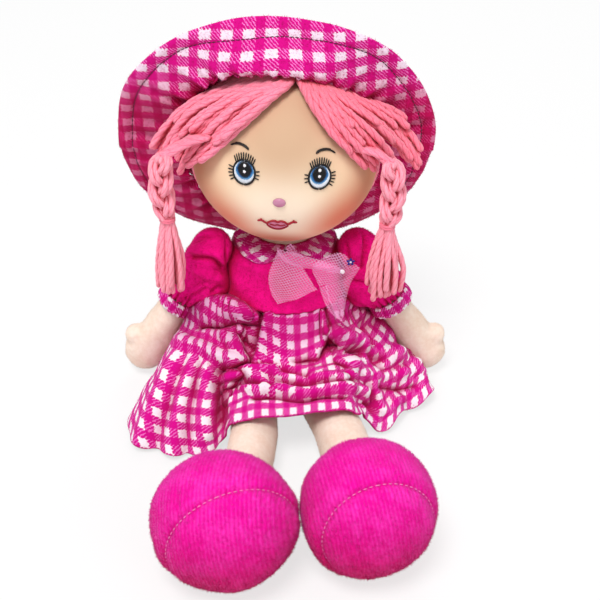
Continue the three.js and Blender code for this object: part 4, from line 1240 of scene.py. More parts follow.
# %%
HAT_CENTRE = np.array((-4.7, 34.3, 167.8))
HAT_LEAN = math.radians(13)
HAT_SIDE = np.array((1.0, 0.0, 0.0))
HAT_UP = np.array((0.0, -math.sin(HAT_LEAN), math.cos(HAT_LEAN)))
HAT_BACK = np.array((0.0, math.cos(HAT_LEAN), math.sin(HAT_LEAN)))
OPENING_WIDTH, OPENING_TOP, OPENING_BOTTOM = 64.0, 73.5, 66.0
OPENING_FORWARD = 20.5
# How much higher the opening's edge is than an ellipse, by its turn from the top in degrees.
OPENING_LIFT = [(-90, 0), (-62, 5), (-42, 8), (-28, 7), (-14, 3.6), (0, 2), (15, 1.5), (35, 0)]
BACK_BEND = math.radians(26)
BRIM_WAVE = 3.5
STITCH_INSIDE = 9.5
# The brim's outer edge: its turn from the top in degrees and its distance from the middle.
BRIM_EDGE = [
    (-183, 101), (-162, 104.5), (-142, 111), (-121, 109), (-100, 107.5), (-80, 107.5),
    (-61, 111), (-46, 111), (-34, 109.5), (-20, 105), (-5, 102), (9, 102.5), (22, 105.5),
    (38, 107), (53, 105.5), (67, 105.5), (80, 106), (95, 104), (111, 106.5), (126, 111.5),
    (143, 110), (160, 103.5), (177, 101), (198, 104.5),
]
edge_curve = curve_through(BRIM_EDGE, 400)


def on_hat(flat, back):
    """A point from where it lies across and up on the hat, and how far back."""
    across, up = flat[..., :1] * HAT_SIDE, flat[..., 1:] * HAT_UP
    return HAT_CENTRE + across + up + back[..., None] * HAT_BACK


def from_top(turn):
    """The turn in degrees from the top, between -180 and 180."""
    return (np.degrees(turn) + 180) % 360 - 180


def opening_edge(turn):
    """Where the opening's edge lies across and up, and how far it comes forward over the hair."""
    high = np.maximum(0, np.cos(turn))
    up = np.where(np.cos(turn) > 0, OPENING_TOP, OPENING_BOTTOM) * np.cos(turn)
    up = up + eased(OPENING_LIFT, from_top(turn))
    return np.stack([OPENING_WIDTH * np.sin(turn), up], axis=-1), OPENING_FORWARD * high ** 2


def brim_way(turn):
    """The opening's edge, how far forward it is, the rim, and the way and width between the two."""
    inner, forward = opening_edge(turn)
    radius = np.interp(from_top(turn), edge_curve[:, 0], edge_curve[:, 1])
    rim = radius[..., None] * np.stack([np.sin(turn), np.cos(turn)], axis=-1)
    width = np.linalg.norm(rim - inner, axis=-1)
    return inner, forward, rim, (rim - inner) / width[..., None], width


def brim_flat(turn, share):
    """Where a point of the brim lies in the flat cloth, and the brim's width there."""
    _, forward, rim, way, width = brim_way(turn)
    at = share[..., None] + (1 - share[..., None]) * np.linspace(0, 1, 24)
    slope = 6 * forward[..., None] * at * (1 - at)
    cloth = np.sqrt(width[..., None] ** 2 + slope ** 2).mean(axis=-1) * (1 - share)
    return rim - way * cloth[..., None], width


def brim_point(turn, share, off):
    """A point off the middle of the brim's two layers, towards the back."""
    inner, forward, _, way, width = brim_way(turn)
    bend = BACK_BEND * np.sqrt(np.maximum(0, -np.cos(turn))) * share
    reach = share * width * np.cos(bend)
    side = np.clip(np.abs(np.sin(turn)), 0, 1)
    back = share * width * np.sin(bend) + BRIM_WAVE * share ** 2 * np.cos(5 * turn + 0.6)
    # Gathers at the crown seam, stronger at the sides.
    gather = np.exp(-share / (0.24 + 0.2 * side ** 4))
    gather = gather * (0.5 + 1.6 * smoothstep(0.25, 0.75, side))
    ripple = 1.3 * np.sin(37 * turn + 2 * np.sin(5 * turn)) + 0.8 * np.sin(61 * turn + 1.0)
    back = back + gather * ripple
    back = back + 1.7 * np.sin(9 * turn + 1.2) * np.sin(math.pi * share) + off
    # At the sides, where the brim turns down over the hair, folds run out to the stitch line.
    pressed = side ** 4 * np.sin(math.pi * np.clip(share, 0, 1) ** 0.7)
    back = back + pressed * 2.2 * np.maximum(0, np.sin(21 * turn + 2.5 * np.sin(4 * turn))) ** 2
    back = back - forward * (1 - smoothstep(0, 1, share))
    return on_hat(inner + way * reach[..., None], back)


def brim_half_thickness(share, width):
    """Half of the brim's thickness: pinched at the stitch line and at the crown seam."""
    from_edge = (1 - share) * width
    pinch = 1 - 0.55 * np.exp(-((from_edge - STITCH_INSIDE) / 1.5) ** 2)
    seam = 0.35 + 0.65 * smoothstep(0, 0.16, share)
    roll = np.sqrt(np.clip(from_edge / 2.6, 0, 1))
    full = 1.75 + 0.5 * np.exp(-((from_edge - 4.5) / 3.2) ** 2)
    return full * pinch * seam * roll


BRIM_COLUMNS, BRIM_ROWS = 420, 44
BRIM_BACK = 1.2
CHECK_SHIFT = np.array((3.6, 86.95))
turns = turns_round(BRIM_COLUMNS)
half = 1 - (1 - np.linspace(0, 1, BRIM_ROWS)) ** 1.35
loop = [(share, -1) for share in half] + [(share, 1) for share in half[-2::-1]]
rows, flats = [], []
for share, face in loop:
    shares = np.full(BRIM_COLUMNS, share)
    flat, width = brim_flat(turns, shares)
    rows.append(brim_point(turns, shares, face * brim_half_thickness(shares, width) + BRIM_BACK))
    flats.append(flat)
pattern = np.array(flats).reshape(-1, 2) - CHECK_SHIFT
faces = loop_faces(len(loop), BRIM_COLUMNS)
brim = outward(make_piece("hat_brim_cloth", np.vstack(rows), faces, hat_cloth, pattern))
brim = napped(brim, 0.45, 1.3, 0.16, 1.2, seed=11)
dress(brim, "head", "gingham_wide", "hat_brim")

seam_turns = np.linspace(0, TAU, 500)[:-1]
width = brim_way(seam_turns)[-1]
seam_share = 1 - STITCH_INSIDE / width
seam_half = brim_half_thickness(seam_share, width) + 0.12
dark_thread = thread("thread_dark_plum", "2b1524")
for face, side_name in ((-1, "front"), (1, "back")):
    line = brim_point(seam_turns, seam_share, face * seam_half + BRIM_BACK)
    topstitch = stitches(f"brim_topstitch_{side_name}", line, dark_thread, 3.0, 2.7, 0.33,
                         closed=True)
    dress(topstitch, "head", "gingham_wide")

# %% [markdown]
# The crown is a round of the same cloth, gathered into the seam with the brim. The gathers fade
# towards its top.

# %%
CROWN_ROWS, CROWN_COLUMNS = 60, 360
CROWN_DEPTH = 47.5
CROWN_START = 1.5
CROWN_CLOTH = 88
turns = turns_round(CROWN_COLUMNS)


def crown_point(turn, climb, off):
    """A point of the crown: climb runs from 0 at the seam to 1 at the top."""
    angle = climb * math.pi / 2
    gather = np.exp(-climb / 0.2)
    fold = gather * (1.5 * np.sin(46 * turn + 2.2 * np.sin(3 * turn)) + 0.7 * np.sin(83 * turn))
    slack = 1.6 * np.sin(7 * turn + 1) * np.sin(angle) * np.cos(angle)
    swell = 1 + 0.045 * np.sin(2 * angle)
    edge, forward = opening_edge(turn)
    far = np.linalg.norm(edge, axis=-1)
    reach = (far - 1.0 + off) * np.cos(angle) ** 0.82 * swell + fold + slack
    back = CROWN_START + (CROWN_DEPTH + off) * np.sin(angle) ** 1.05 - forward * (1 - np.sin(angle))
    return on_hat(edge / far[..., None] * reach[..., None], back)


rows, flats = [], []
climbs = np.linspace(0, 0.985, CROWN_ROWS)
for off, order in ((1.4, climbs), (0.0, climbs[::-1])):
    for climb in order:
        rows.append(crown_point(turns, np.full(CROWN_COLUMNS, climb), off))
        reach = CROWN_CLOTH * (1 - climb) + 3
        flats.append(np.stack([np.sin(turns) * reach, np.cos(turns) * reach], axis=-1))
# The two skins close at their tops, and meet along the seam.
n = CROWN_ROWS * CROWN_COLUMNS
tops = [rows[k].mean(axis=0) for k in (CROWN_ROWS - 1, CROWN_ROWS)]
points = np.vstack(rows + tops)
pattern = np.vstack(flats + [(0, 0), (0, 0)])
faces = grid_faces(CROWN_ROWS, CROWN_COLUMNS, wrap=True)
faces += grid_faces(CROWN_ROWS, CROWN_COLUMNS, wrap=True, start=n)
faces += joining_faces(2 * CROWN_ROWS, CROWN_COLUMNS)
for i in range(CROWN_COLUMNS):
    j = (i + 1) % CROWN_COLUMNS
    faces += [[n - CROWN_COLUMNS + i, n - CROWN_COLUMNS + j, 2 * n], [n + j, n + i, 2 * n + 1]]
crown = outward(make_piece("hat_crown_cloth", points, faces, hat_cloth, pattern))
crown = napped(crown, 0.4, 1.3, 0.16, 1.2, seed=12)
dress(crown, "head", "gingham_wide", "hat_crown")

# %% [markdown]
# ## Torso, bodice and sleeves
#
# The stuffed torso hardly shows. The bodice is cut from velour, so it takes its shape from the
# torso with a few soft folds from the armholes. Its place is a turn round the torso and a share of
# the height.

# %%
TORSO_HEIGHT, TORSO_WIDE, TORSO_DEEP = 116.0, 43.0, 34.0
WIDE_STOPS = [(0, 0.8), (0.12, 0.98), (0.3, 1), (0.62, 0.9), (0.86, 0.86), (0.95, 0.66), (1, 0.4)]
DEEP_STOPS = [(0, 0.72), (0.12, 0.97), (0.3, 1), (0.62, 0.9), (0.86, 0.76), (0.95, 0.6), (1, 0.44)]
TORSO_LEAN = math.tan(math.radians(8))


def torso_point(turn, share, grown):
    wide = eased(WIDE_STOPS, share) * TORSO_WIDE + grown
    deep = eased(DEEP_STOPS, share) * TORSO_DEEP + grown
    height = share * TORSO_HEIGHT
    return np.stack(np.broadcast_arrays(
        wide * np.sin(turn), TORSO_LEAN * height - deep * np.cos(turn), height), axis=-1)


body_cloth = plush("cotton_cream", "f6e2d0", "e8cdb6", 0.1, "fff4ea", 0.8)
for node in ("torso_body", "neck"):
    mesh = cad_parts[node].data
    mesh.materials.clear()
    mesh.materials.append(body_cloth)

WAIST_SHARE = 76 / TORSO_HEIGHT
BODICE_ROWS, BODICE_COLUMNS = 46, 220
turns = turns_round(BODICE_COLUMNS)
shares = np.linspace(WAIST_SHARE - 0.022, 0.965, BODICE_ROWS)
rows = []
for inner in (False, True):
    for share in (shares[::-1] if inner else shares):
        level = (share - WAIST_SHARE) / (1 - WAIST_SHARE)
        arch = np.sin(math.pi * np.clip(level, 0, 1))
        gather = np.exp(-np.maximum(level, 0) / 0.1) * 0.35
        gather = gather * np.sin(30 * turns + 2 * np.sin(4 * turns))
        drape = np.sin(6 * turns + 5 * level) * arch
        grown = 0.5 if inner else 2.9 + gather + drape + 0.8 * arch
        flare = 1.8 * math.exp(-max(0, level) / 0.08)
        rows.append(torso_point(turns, share, grown + flare))
faces = loop_faces(2 * BODICE_ROWS, BODICE_COLUMNS)
bodice = outward(make_piece("bodice_velour", np.vstack(rows), faces, velour))
bodice = napped(bodice, 0.9, 1.0, 0.14, 0.9, seed=21)
dress(bodice, "torso", "velour", "dress_bodice")

# %% [markdown]
# A sleeve is a puff: gathered at the armhole and at the cuff, with a few large folds between.

# %%
ARM_SPREAD = math.radians(31)
SHOULDERS = {"left": np.array((-51.5, 5.0, 102.0)), "right": np.array((51.5, 5.0, 102.0))}


def arm_axes(side):
    """The ways down the arm, out of it and to the front."""
    down = np.array((side * math.sin(ARM_SPREAD), 0, -math.cos(ARM_SPREAD)))
    out = np.array((side * math.cos(ARM_SPREAD), 0, math.sin(ARM_SPREAD)))
    return down, out, np.array((0.0, -1.0, 0.0))


def hoop(centre, reach, first, second):
    """A ring of points about a centre, in the plane of two unit vectors."""
    turns = turns_round(len(reach))[:, None]
    return centre + reach[:, None] * (np.cos(turns) * first + np.sin(turns) * second)


SLEEVE_ROWS, SLEEVE_COLUMNS, SLEEVE_LENGTH = 84, 140, 38
SLEEVE_SEED = {"left": 5, "right": 9}
CUFF_ROWS, CUFF_COLUMNS = 22, 150
# The sleeve's radius over its length: from inside the shoulder by 0 there to 1 at the cuff.
SLEEVE_STOPS = [(-0.5, 3), (-0.46, 8.5), (-0.36, 12.8), (-0.2, 15.0), (0, 15.6), (0.25, 15.6),
                (0.5, 15.9), (0.72, 16.2), (0.86, 16.0), (0.95, 14.9), (1.0, 13.9)]
# Folds that the photograph shows: height, reach left and right, and the line in pixels.
SLEEVE_FOLDS = {
    "left": [
        (1.8, 3, 4, [(186, 236.5), (204.2, 230.6), (221.7, 227.7)]),
        (-2.6, 2.5, 2.5, [(188, 243.0), (204.2, 237.4), (219.8, 235.5)]),
        (2.0, 4, 3, [(190.5, 250.5), (206.1, 252), (217.8, 254.9), (223, 262)]),
        (-3.0, 2.5, 2.5, [(192.4, 256.9), (208.1, 258.8), (217.8, 263.7), (223.7, 271.5)]),
        (2.4, 5, 4, [(196.4, 271.4), (210, 277.2), (222.7, 278.2)]),
        (-3.0, 3, 2.5, [(213.9, 292.8), (219, 289), (227.6, 287.9)]),
        (-2.0, 2.5, 2.5, [(206.2, 289.8), (198, 294), (186.6, 298.6)]),
        (-2.6, 1.3, 1.6, [(225.6, 224.7), (226.6, 240.3), (225.6, 263.6), (228.6, 281.1)]),
    ],
    "right": [
        (2.2, 4, 4, [(350, 225.7), (358.8, 238.3), (354, 255.9)]),
        (-3.0, 2.5, 2.5, [(345.2, 238.3), (349.1, 257.8), (348, 270)]),
        (2.0, 4, 4, [(368.6, 224.8), (373.5, 236.5), (372, 252)]),
        (-2.8, 2.5, 3, [(362, 228), (366, 246), (362, 268)]),
        (-2.6, 2.5, 2.5, [(352, 282), (364, 284), (376, 278)]),
        (-2.6, 1.6, 1.3, [(334.5, 234), (337.5, 254), (345, 284)]),
    ],
}
for name, side in SIDES.items():
    down, out, front = arm_axes(side)
    seed = SLEEVE_SEED[name]
    run = np.linspace(-0.5, 1, SLEEVE_ROWS)
    stops = curve_through(SLEEVE_STOPS, 120)
    radius = np.interp(run, stops[:, 0], stops[:, 1])
    turns = turns_round(SLEEVE_COLUMNS)
    low = smoothstep(0.45, 1.0, run)[:, None]
    gather = low ** 2 * (1.1 * np.sin(22 * turns + seed) + 0.6 * np.sin(37 * turns))
    wave = 3 * turns + 4.2 * run[:, None] + seed
    folds = 1.1 * np.sin(wave) * np.sin(math.pi * np.clip(run + 0.15, 0, 1))[:, None]
    crease = np.exp(-((np.sin(2 * turns + 2.6 * run[:, None] + seed)) / 0.2) ** 2)
    crease = -2.3 * crease * np.sin(math.pi * np.clip(run + 0.05, 0, 1))[:, None]
    # On the side of the bodice the sleeve is full, so it fills the armpit.
    inwards = np.maximum(0, -np.cos(turns))
    full = (smoothstep(-0.05, 0.45, run) * smoothstep(1.0, 0.7, run))[:, None]
    armpit = 9.5 * inwards ** 1.5 * full - 3.0 * inwards * smoothstep(0.25, -0.1, run)[:, None]
    reach = radius[:, None] + gather + 0.5 * folds + 0.4 * crease + armpit
    centre = SHOULDERS[name] + down * (run * SLEEVE_LENGTH)[:, None]
    away = np.cos(turns)[None, :, None] * out + np.sin(turns)[None, :, None] * front * 0.96
    ring = centre[:, None, :] + reach[..., None] * away
    # Folds that the photograph shows, on the side that faces it.
    seen = seen_at(ring)
    facing = smoothstep(0.0, 0.5, away @ TO_CAMERA)
    lift = sum(fold_height(seen, *fold) for fold in SLEEVE_FOLDS[name])
    ring = ring + (lift * facing)[..., None] * away
    faces = capped_faces(SLEEVE_ROWS, SLEEVE_COLUMNS)
    sleeve = outward(make_piece(f"sleeve_{name}_velour", ring.reshape(-1, 3), faces, velour))
    sleeve = napped(sleeve, 1.1, 1.1, 0.14, 0.9, seed=23 + seed)
    dress(sleeve, f"arm_{name}", "velour", f"sleeve_{name}")

    # The cuff: a doubled band of fine check with a soft ripple.
    turns = turns_round(CUFF_COLUMNS)
    rows, flats = [], []
    for t in turns_round(CUFF_ROWS):
        along = 38.6 + 4.6 - 5.0 * math.cos(t)
        thick = 1.55 + 0.2 * math.cos(2 * t)
        reach = 13.9 + 0.9 * (along - 38) / 10 + thick * math.sin(t)
        rows.append(hoop(SHOULDERS[name] + down * along, reach + 0.45 * np.sin(24 * turns + seed),
                         out, front))
        flats.append(np.stack([turns * 15.0, np.full(CUFF_COLUMNS, along)], axis=-1))
    faces = loop_faces(CUFF_ROWS, CUFF_COLUMNS)
    cuff = make_piece(f"cuff_{name}_check", np.vstack(rows), faces, trim_cloth, np.vstack(flats))
    cuff = napped(outward(cuff), 0.6, 0.6, 0.12, 1.0, seed=25 + seed)
    dress(cuff, f"arm_{name}", "gingham_fine", f"cuff_{name}")

# %% [markdown]
# ## Arms
#
# Each arm is one stuffed piece of cream plush that ends in a mitten with a thumb.

# %%
for name in SIDES:
    arm = softened(f"arm_{name}", f"arm_{name}_plush", 1.5, 8, cream_plush)
    set_points(arm, lumpy_points(arm, 0.35, 16, 31))
    arm = napped(arm, 1.6, 0.8, 0.12, 0.9, seed=33)
    dress(arm, f"arm_{name}", "limb_plush", f"arm_{name}")

# %% [markdown]
# ## Collar
#
# The flat collar has two halves with round ends. Each is cut on the slant and lies on the bodice,
# so a point of it is a turn and a height share on the torso, lifted by the cloth below.

# %%
COLLAR_EDGE = {
    "left": [(0, 0.985), (-6, 0.957), (-14, 0.925), (-21, 0.905), (-30, 0.902), (-42, 0.912),
             (-67, 0.92), (-95, 0.912), (-130, 0.895), (-165, 0.885), (-177, 0.905)],
    "right": [(2, 0.985), (10, 0.968), (23, 0.945), (35, 0.915), (46, 0.906), (58, 0.912),
              (72, 0.92), (98, 0.915), (130, 0.895), (165, 0.885), (177, 0.905)],
}
COLLAR_COLUMNS, COLLAR_ROWS = 150, 26
COLLAR_TOP = 0.998
COLLAR_SLANT = math.radians(34)
# Height shares are drawn out, so that a step round and a step down weigh alike in the curve.
SHARE_WEIGHT = 300
columns = np.arange(COLLAR_COLUMNS)
ends = np.clip(np.minimum(columns, columns[::-1]) / 7, 0, 1) ** 0.5
for name, edge in COLLAR_EDGE.items():
    outer = curve_through([(a, s * SHARE_WEIGHT) for a, s in edge], COLLAR_COLUMNS)
    outer_turn, outer_share = np.radians(outer[:, 0]), outer[:, 1] / SHARE_WEIGHT
    rows, flats = [], []
    for layer, order in ((1, 1), (-1, -1)):
        for r in np.linspace(0, 1, COLLAR_ROWS)[::order]:
            share = COLLAR_TOP + (outer_share - COLLAR_TOP) * r
            roll = math.sqrt(max(0.0, 1 - r ** 10)) * ends
            wave = 0.7 * np.sin(outer_turn * 7 + 1.0) * r
            middle = 4.9 + 1.3 * math.sin(math.pi * min(1, r * 1.1)) + wave
            rows.append(torso_point(outer_turn, share, middle + layer * roll))
            down = np.full(COLLAR_COLUMNS, -17.0 * r)
            flats.append(np.stack([outer[:, 0] * 0.52, down], axis=-1))
    slope = COLLAR_SLANT * SIDES[name]
    turned = np.array(((math.cos(slope), -math.sin(slope)), (math.sin(slope), math.cos(slope))))
    faces = grid_faces(2 * COLLAR_ROWS, COLLAR_COLUMNS)
    last = (2 * COLLAR_ROWS - 1) * COLLAR_COLUMNS
    faces += [[last + i, last + i + 1, i + 1, i] for i in range(COLLAR_COLUMNS - 1)]
    for column in (0, COLLAR_COLUMNS - 1):
        faces.append([k * COLLAR_COLUMNS + column for k in range(2 * COLLAR_ROWS)])
    collar = make_piece(f"collar_{name}_check", np.vstack(rows), faces, trim_cloth,
                        np.vstack(flats) @ turned)
    collar = napped(outward(collar), 0.7, 0.9, 0.14, 1.0, seed=35)
    dress(collar, "torso", "gingham_fine", f"collar_{name}")

# %% [markdown]
# ## Bow
#
# The bow is stiff net, so one sees the bodice through it, and it turns whiter where it lies double.
# Each fold is a small sheet through a few points. The holes of the net are drawn by opacity.

# %%
NET_PITCH = 1.6
NET_WAYS = ((1.0, 0.0), (0.3, 0.95))

net, net_tree, net_shader = start_material("nylon_net_pale_pink", 0.45, 0.2, "ffffff", 0.3)
net_shader.inputs["Base Color"].default_value = linear("ffb4e6")
# The net glows faintly pink: painted light for the light that its thin threads scatter.
net_shader.inputs["Emission Color"].default_value = linear("ffb8e4")
net_shader.inputs["Emission Strength"].default_value = 0.16
flat = parts_of(net_tree, pattern_of(net_tree))
strands = []
for across, down in NET_WAYS:
    line = calc(net_tree, "ADD", calc(net_tree, "MULTIPLY", flat[0], across),
                calc(net_tree, "MULTIPLY", flat[1], down))
    wave = calc(net_tree, "SINE", calc(net_tree, "MULTIPLY", line, TAU / NET_PITCH))
    strands.append(ramp_between(net_tree, wave, 0.25, 0.95))
mesh_lines = calc(net_tree, "MAXIMUM", *strands)
opacity = calc(net_tree, "ADD", calc(net_tree, "MULTIPLY", mesh_lines, 0.3), 0.05)
net_tree.links.new(opacity, net_shader.inputs["Alpha"])

BOW_FOLDS = {
    "wing_left": [
        [(-4.5, -17, 121), (3.5, -19.5, 114), (12.3, -21, 109)],
        [(-10.8, -21, 104), (3, -24, 101.5), (17, -23.5, 101)],
        [(-9.5, -23.5, 91), (3.5, -26, 93), (19.5, -24.5, 96)],
        [(-4.9, -26, 82.5), (8, -27, 88), (21.8, -25, 94)],
    ],
    "band": [
        [(-5.2, -18.5, 124), (-1, -20.5, 123), (7.3, -22, 121), (23, -22, 115.5),
         (38.8, -20.5, 108)],
        [(-5, -21, 120.5), (0, -23.5, 118), (10, -24.5, 116), (25, -24, 111.5), (38.6, -22, 107)],
        [(-3.5, -20, 116.5), (1, -22, 113.5), (13.3, -23, 110.5), (27, -22.5, 107),
         (37.7, -21.5, 105)],
    ],
    "ear": [
        [(0, -17.5, 122.5), (3.5, -17, 125.5), (7.4, -18, 121)],
        [(2, -19, 118), (6, -19, 117.5), (12, -20, 116)],
    ],
    "wing_right": [
        [(23, -19.5, 115), (33.5, -20, 120), (40.3, -19.5, 118.5)],
        [(18, -22, 109), (34, -23, 111.5), (45.5, -20, 111.5)],
        [(21, -23.5, 100), (35, -23.5, 104), (49.8, -20, 108)],
        [(23.3, -24.5, 96), (34, -23.5, 100.5), (49.6, -19.5, 107)],
    ],
    "tail_left": [
        [(23, -24.5, 96), (28.3, -25, 97.5)],
        [(25.5, -26, 88), (30, -27.5, 88.5)],
        [(29.5, -29.5, 79.5), (34, -31, 79.5)],
        [(37.8, -33, 73.5), (38.8, -34, 74.5)],
    ],
    "tail_right": [
        [(27, -23, 97.5), (37, -22.5, 101), (49, -18.5, 106)],
        [(29, -26, 88), (37, -26, 91), (44, -20, 96)],
        [(33.5, -30.5, 79), (37.5, -30, 83), (41, -25, 85)],
        [(37.8, -33.5, 73.5), (38.5, -33, 74.5), (39.5, -31, 77)],
    ],
}
FOLD_POINTS = 34
BOW_TURN = np.array(((0.82, -0.57), (0.57, 0.82)))
points, faces, flats = [], [], []
u = np.linspace(0, 1, FOLD_POINTS)[None, :]
w = np.linspace(0, 1, FOLD_POINTS)[:, None]
for fold_name, fold in BOW_FOLDS.items():
    lines = np.array([curve_through(row, FOLD_POINTS) for row in fold])
    grid = np.stack([curve_through(lines[:, i], FOLD_POINTS) for i in range(FOLD_POINTS)], axis=1)
    seed = len(fold_name)
    grid[..., 1] += 0.5 * np.sin(7 * u + 5 * w + seed) + 0.35 * np.sin(13 * u - 4 * w + seed)
    faces += grid_faces(FOLD_POINTS, FOLD_POINTS, start=len(points) * FOLD_POINTS ** 2)
    points.append(grid.reshape(-1, 3))
    flats.append(grid[..., [0, 2]].reshape(-1, 2) @ BOW_TURN)
bow = make_piece("bow_net", np.vstack(points), faces, net, np.vstack(flats))
bow = thickened(bow, 0.22)
dress(bow, "torso", "net", "bow_wing_left", "bow_wing_right", "bow_tail", "bow_knot")

# %% [markdown]
# A tiny five-petalled flower and a pale bead are stuck to the net.

# %%
def beads(name, places, colour, roughness):
    """Small domes, each a centre, two half widths, a height towards the front and a spin."""
    points, faces = [], []
    rings, around = 5, 14
    a = turns_round(around)
    for k, ((x, y, z), (half_x, half_z), high, spin) in enumerate(places):
        for t in np.linspace(0, math.pi / 2, rings):
            px = half_x * math.cos(t) * np.cos(a)
            pz = half_z * math.cos(t) * np.sin(a)
            points.append(np.stack([
                x + px * math.cos(spin) - pz * math.sin(spin),
                np.full(around, y - high * math.sin(t)),
                z + px * math.sin(spin) + pz * math.cos(spin),
            ], axis=-1))
        faces += capped_faces(rings, around, k * rings * around)
    gloss = thread(name + "_gloss", colour, roughness)
    return outward(make_piece(name, np.vstack(points), faces, gloss))


FLOWER = np.array((43.4, -21.2, 113.8))
PEARL = np.array((38.0, -23.2, 107.4))
petals = []
for k in range(5):
    a = k / 5 * TAU + 0.3
    petals.append((FLOWER + (1.75 * math.cos(a), 0, 1.75 * math.sin(a)), (1.25, 0.95), 0.7, a))
flower = beads("flower_petals", petals, "2c1f86", 0.25)
dress(flower, "torso", "flower_sequin", "bow_flower")
heart = beads("flower_heart", [(FLOWER - (0, 0.4, 0), (0.8, 0.8), 0.5, 0)], "e9dff2", 0.3)
dress(heart, "torso", "flower_sequin")
pearl = beads("bow_bead", [(PEARL, (1.6, 1.9), 0.9, 0.4)], "f1ecf2", 0.25)
dress(pearl, "torso", "flower_sequin")

# %% [markdown]
# ## Skirt
#
# The skirt is a strip of brushed check, gathered at the waist. In front it falls from the waist in
# a flat panel between two pleats, tucks under, bunches on the lap and ends in a smooth hem over the
# legs. On the doll's right it runs out on the floor in long ridges, and on its left it crumples.

# %%
HIPS = {"left": np.array((-21.0, -22.0, 17.0)), "right": np.array((21.0, -22.0, 17.0))}
LEG_SPLAY = {"left": math.radians(-5.2), "right": math.radians(10.5)}
SKIRT_LENGTH = 126.0
# The stuffed legs sag to the doll's left below the knee, and the one on its right is slimmer.
LEG_ASIDE = {"left": 6.0, "right": 4.5}
LEG_SHARE = {"left": 0.92, "right": 1.0}
# The hem's places, from the middle of the front by the right round the back: x, y and height.
HEM = [
    (1, -91, 39.5), (27, -87.5, 41), (43, -84, 37.5), (54, -74, 14), (64, -64, 3.4), (79, -54, 2.8),
    (95, -40, 3.2), (105, -12, 5), (88, 17, 3), (66, 47, 2.6), (37, 69, 2.6), (0, 77, 2.6),
    (-37, 69, 2.6), (-66, 45, 2.6), (-75, 8, 2.6), (-93, -20, 2.6), (-108, -52, 2.6),
    (-97, -79, 2.6), (-58, -89, 2.6), (-43.5, -82.5, 9), (-33, -87, 27), (-19, -91.5, 38.5),
]
# The profile over the lap, from waist to hem: how far forward and how high.
LAP = [
    (-20.9, 74.6), (-26.5, 68.5), (-32, 61), (-37.5, 53.5), (-41.2, 47.5), (-41.5, 43.2),
    (-38.8, 41.0), (-40.5, 40.2), (-45, 42.4), (-50, 43.6), (-58, 43.2), (-66, 42.8), (-74, 41.6),
    (-83, 40.2), (-92, 38.5),
]
SKIRT_COLUMNS, SKIRT_ROWS = 440, 100
SKIRT_THICKNESS = 1.5
DRAWN_IN = 0.45
HEM_CHECK = -1.7


def leg_axes(name):
    """The ways along a leg towards its boot, and across it."""
    splay = LEG_SPLAY[name]
    forward = np.array((math.sin(splay), -math.cos(splay), 0))
    return forward, np.array((math.cos(splay), math.sin(splay), 0))


hem_line = curve_through(HEM, SKIRT_COLUMNS * 4 + 1, closed=True)
# Places along the hem by their number in the list, so that the waist's turns can follow them.
marks = [int(np.argmin(np.linalg.norm(hem_line[:-1] - np.array(p), axis=1))) for p in HEM]
marks[0] = 0
hem_steps = run_along(hem_line)
hem_total = hem_steps[-1]
places = np.arange(len(hem_line))
index_of = np.interp(places, marks + [len(hem_line) - 1], np.arange(len(HEM) + 1))
pick = np.linspace(0, len(hem_line) - 1, SKIRT_COLUMNS + 1)[:-1]
hem = np.stack([np.interp(pick, places, column) for column in hem_line.T], axis=1)
hem_run = np.interp(pick, places, hem_steps)
number = np.interp(pick, places, index_of)
print("skirt hem:", round(hem_total), "mm round")

# The turn round the waist for each column. The panel in front keeps its width, and the cloth beside
# it goes into the pleats.
turn = number / len(HEM) * TAU
turn = np.where(turn > math.pi, turn - TAU, turn)
centred = np.where(number > len(HEM) / 2, number - len(HEM), number)
run = np.where(hem_run > hem_total / 2, hem_run - hem_total, hem_run)
WAIST_RADIUS = 38.0
PANEL_MIDDLE, PLEATS = 1.5, (-25, 23)
panel_turn = np.arcsin(np.clip((run - PANEL_MIDDLE) / WAIST_RADIUS, -0.95, 0.95))
held = np.clip(panel_turn, *(math.asin(place / WAIST_RADIUS) for place in PLEATS))
beyond = np.where(turn > 0, smoothstep(1.7, 4.6, centred), smoothstep(-1.6, -4.4, centred))
side_turn = held + (turn - held) * beyond
waist_turn = np.where(np.abs(centred) < 5, side_turn, turn)

v = np.linspace(0, 1, SKIRT_ROWS)
waist = torso_point(waist_turn, np.full(SKIRT_COLUMNS, WAIST_SHARE - 0.012), 0.8)
front = np.clip(np.cos(waist_turn), 0, 1)
out = hem - waist
out[:, 2] = 0
out /= np.linalg.norm(out, axis=1, keepdims=True)
leave = waist + out * (10 + 10 * front)[:, None]
leave[:, 2] -= 17 - 9 * front
# Beside the doll's right hand the cloth puffs out over the hip.
puff = np.exp(-((centred + 5.4) / 1.7) ** 2)
leave += out * (26 * puff)[:, None]
leave[:, 2] += 10 * puff
land = hem - out * 14
land[:, 2] += 20 + 5 * front
t = v[:, None, None]
base = waist * (1 - t) ** 3 + leave * 3 * t * (1 - t) ** 2
base = base + land * 3 * t * t * (1 - t) + hem * t ** 3

# Over the lap the profile is drawn from the list. Its tuck slants a little and dies out sideways.
on_lap = smoothstep(3.2, 1.7, np.abs(centred))
profile = curve_through(LAP, SKIRT_ROWS)
shares = (profile - profile[0]) / (profile[-1] - profile[0])
slant = 0.012 * np.sin(run / 13.0) + 0.006 * np.sin(run / 6.1 + 1.3)
at = np.clip(v[:, None] + slant[None, :] * np.sin(math.pi * v)[:, None] ** 2, 0, 1)
forward_share = np.interp(at, v, shares[:, 0])
down_share = np.interp(at, v, shares[:, 1])
lap_y = waist[:, 1] + (hem[:, 1] - waist[:, 1]) * forward_share
lap_z = waist[:, 2] + (hem[:, 2] - waist[:, 2]) * down_share
base[..., 1] += (lap_y - base[..., 1]) * on_lap
base[..., 2] += (lap_z - base[..., 2]) * on_lap


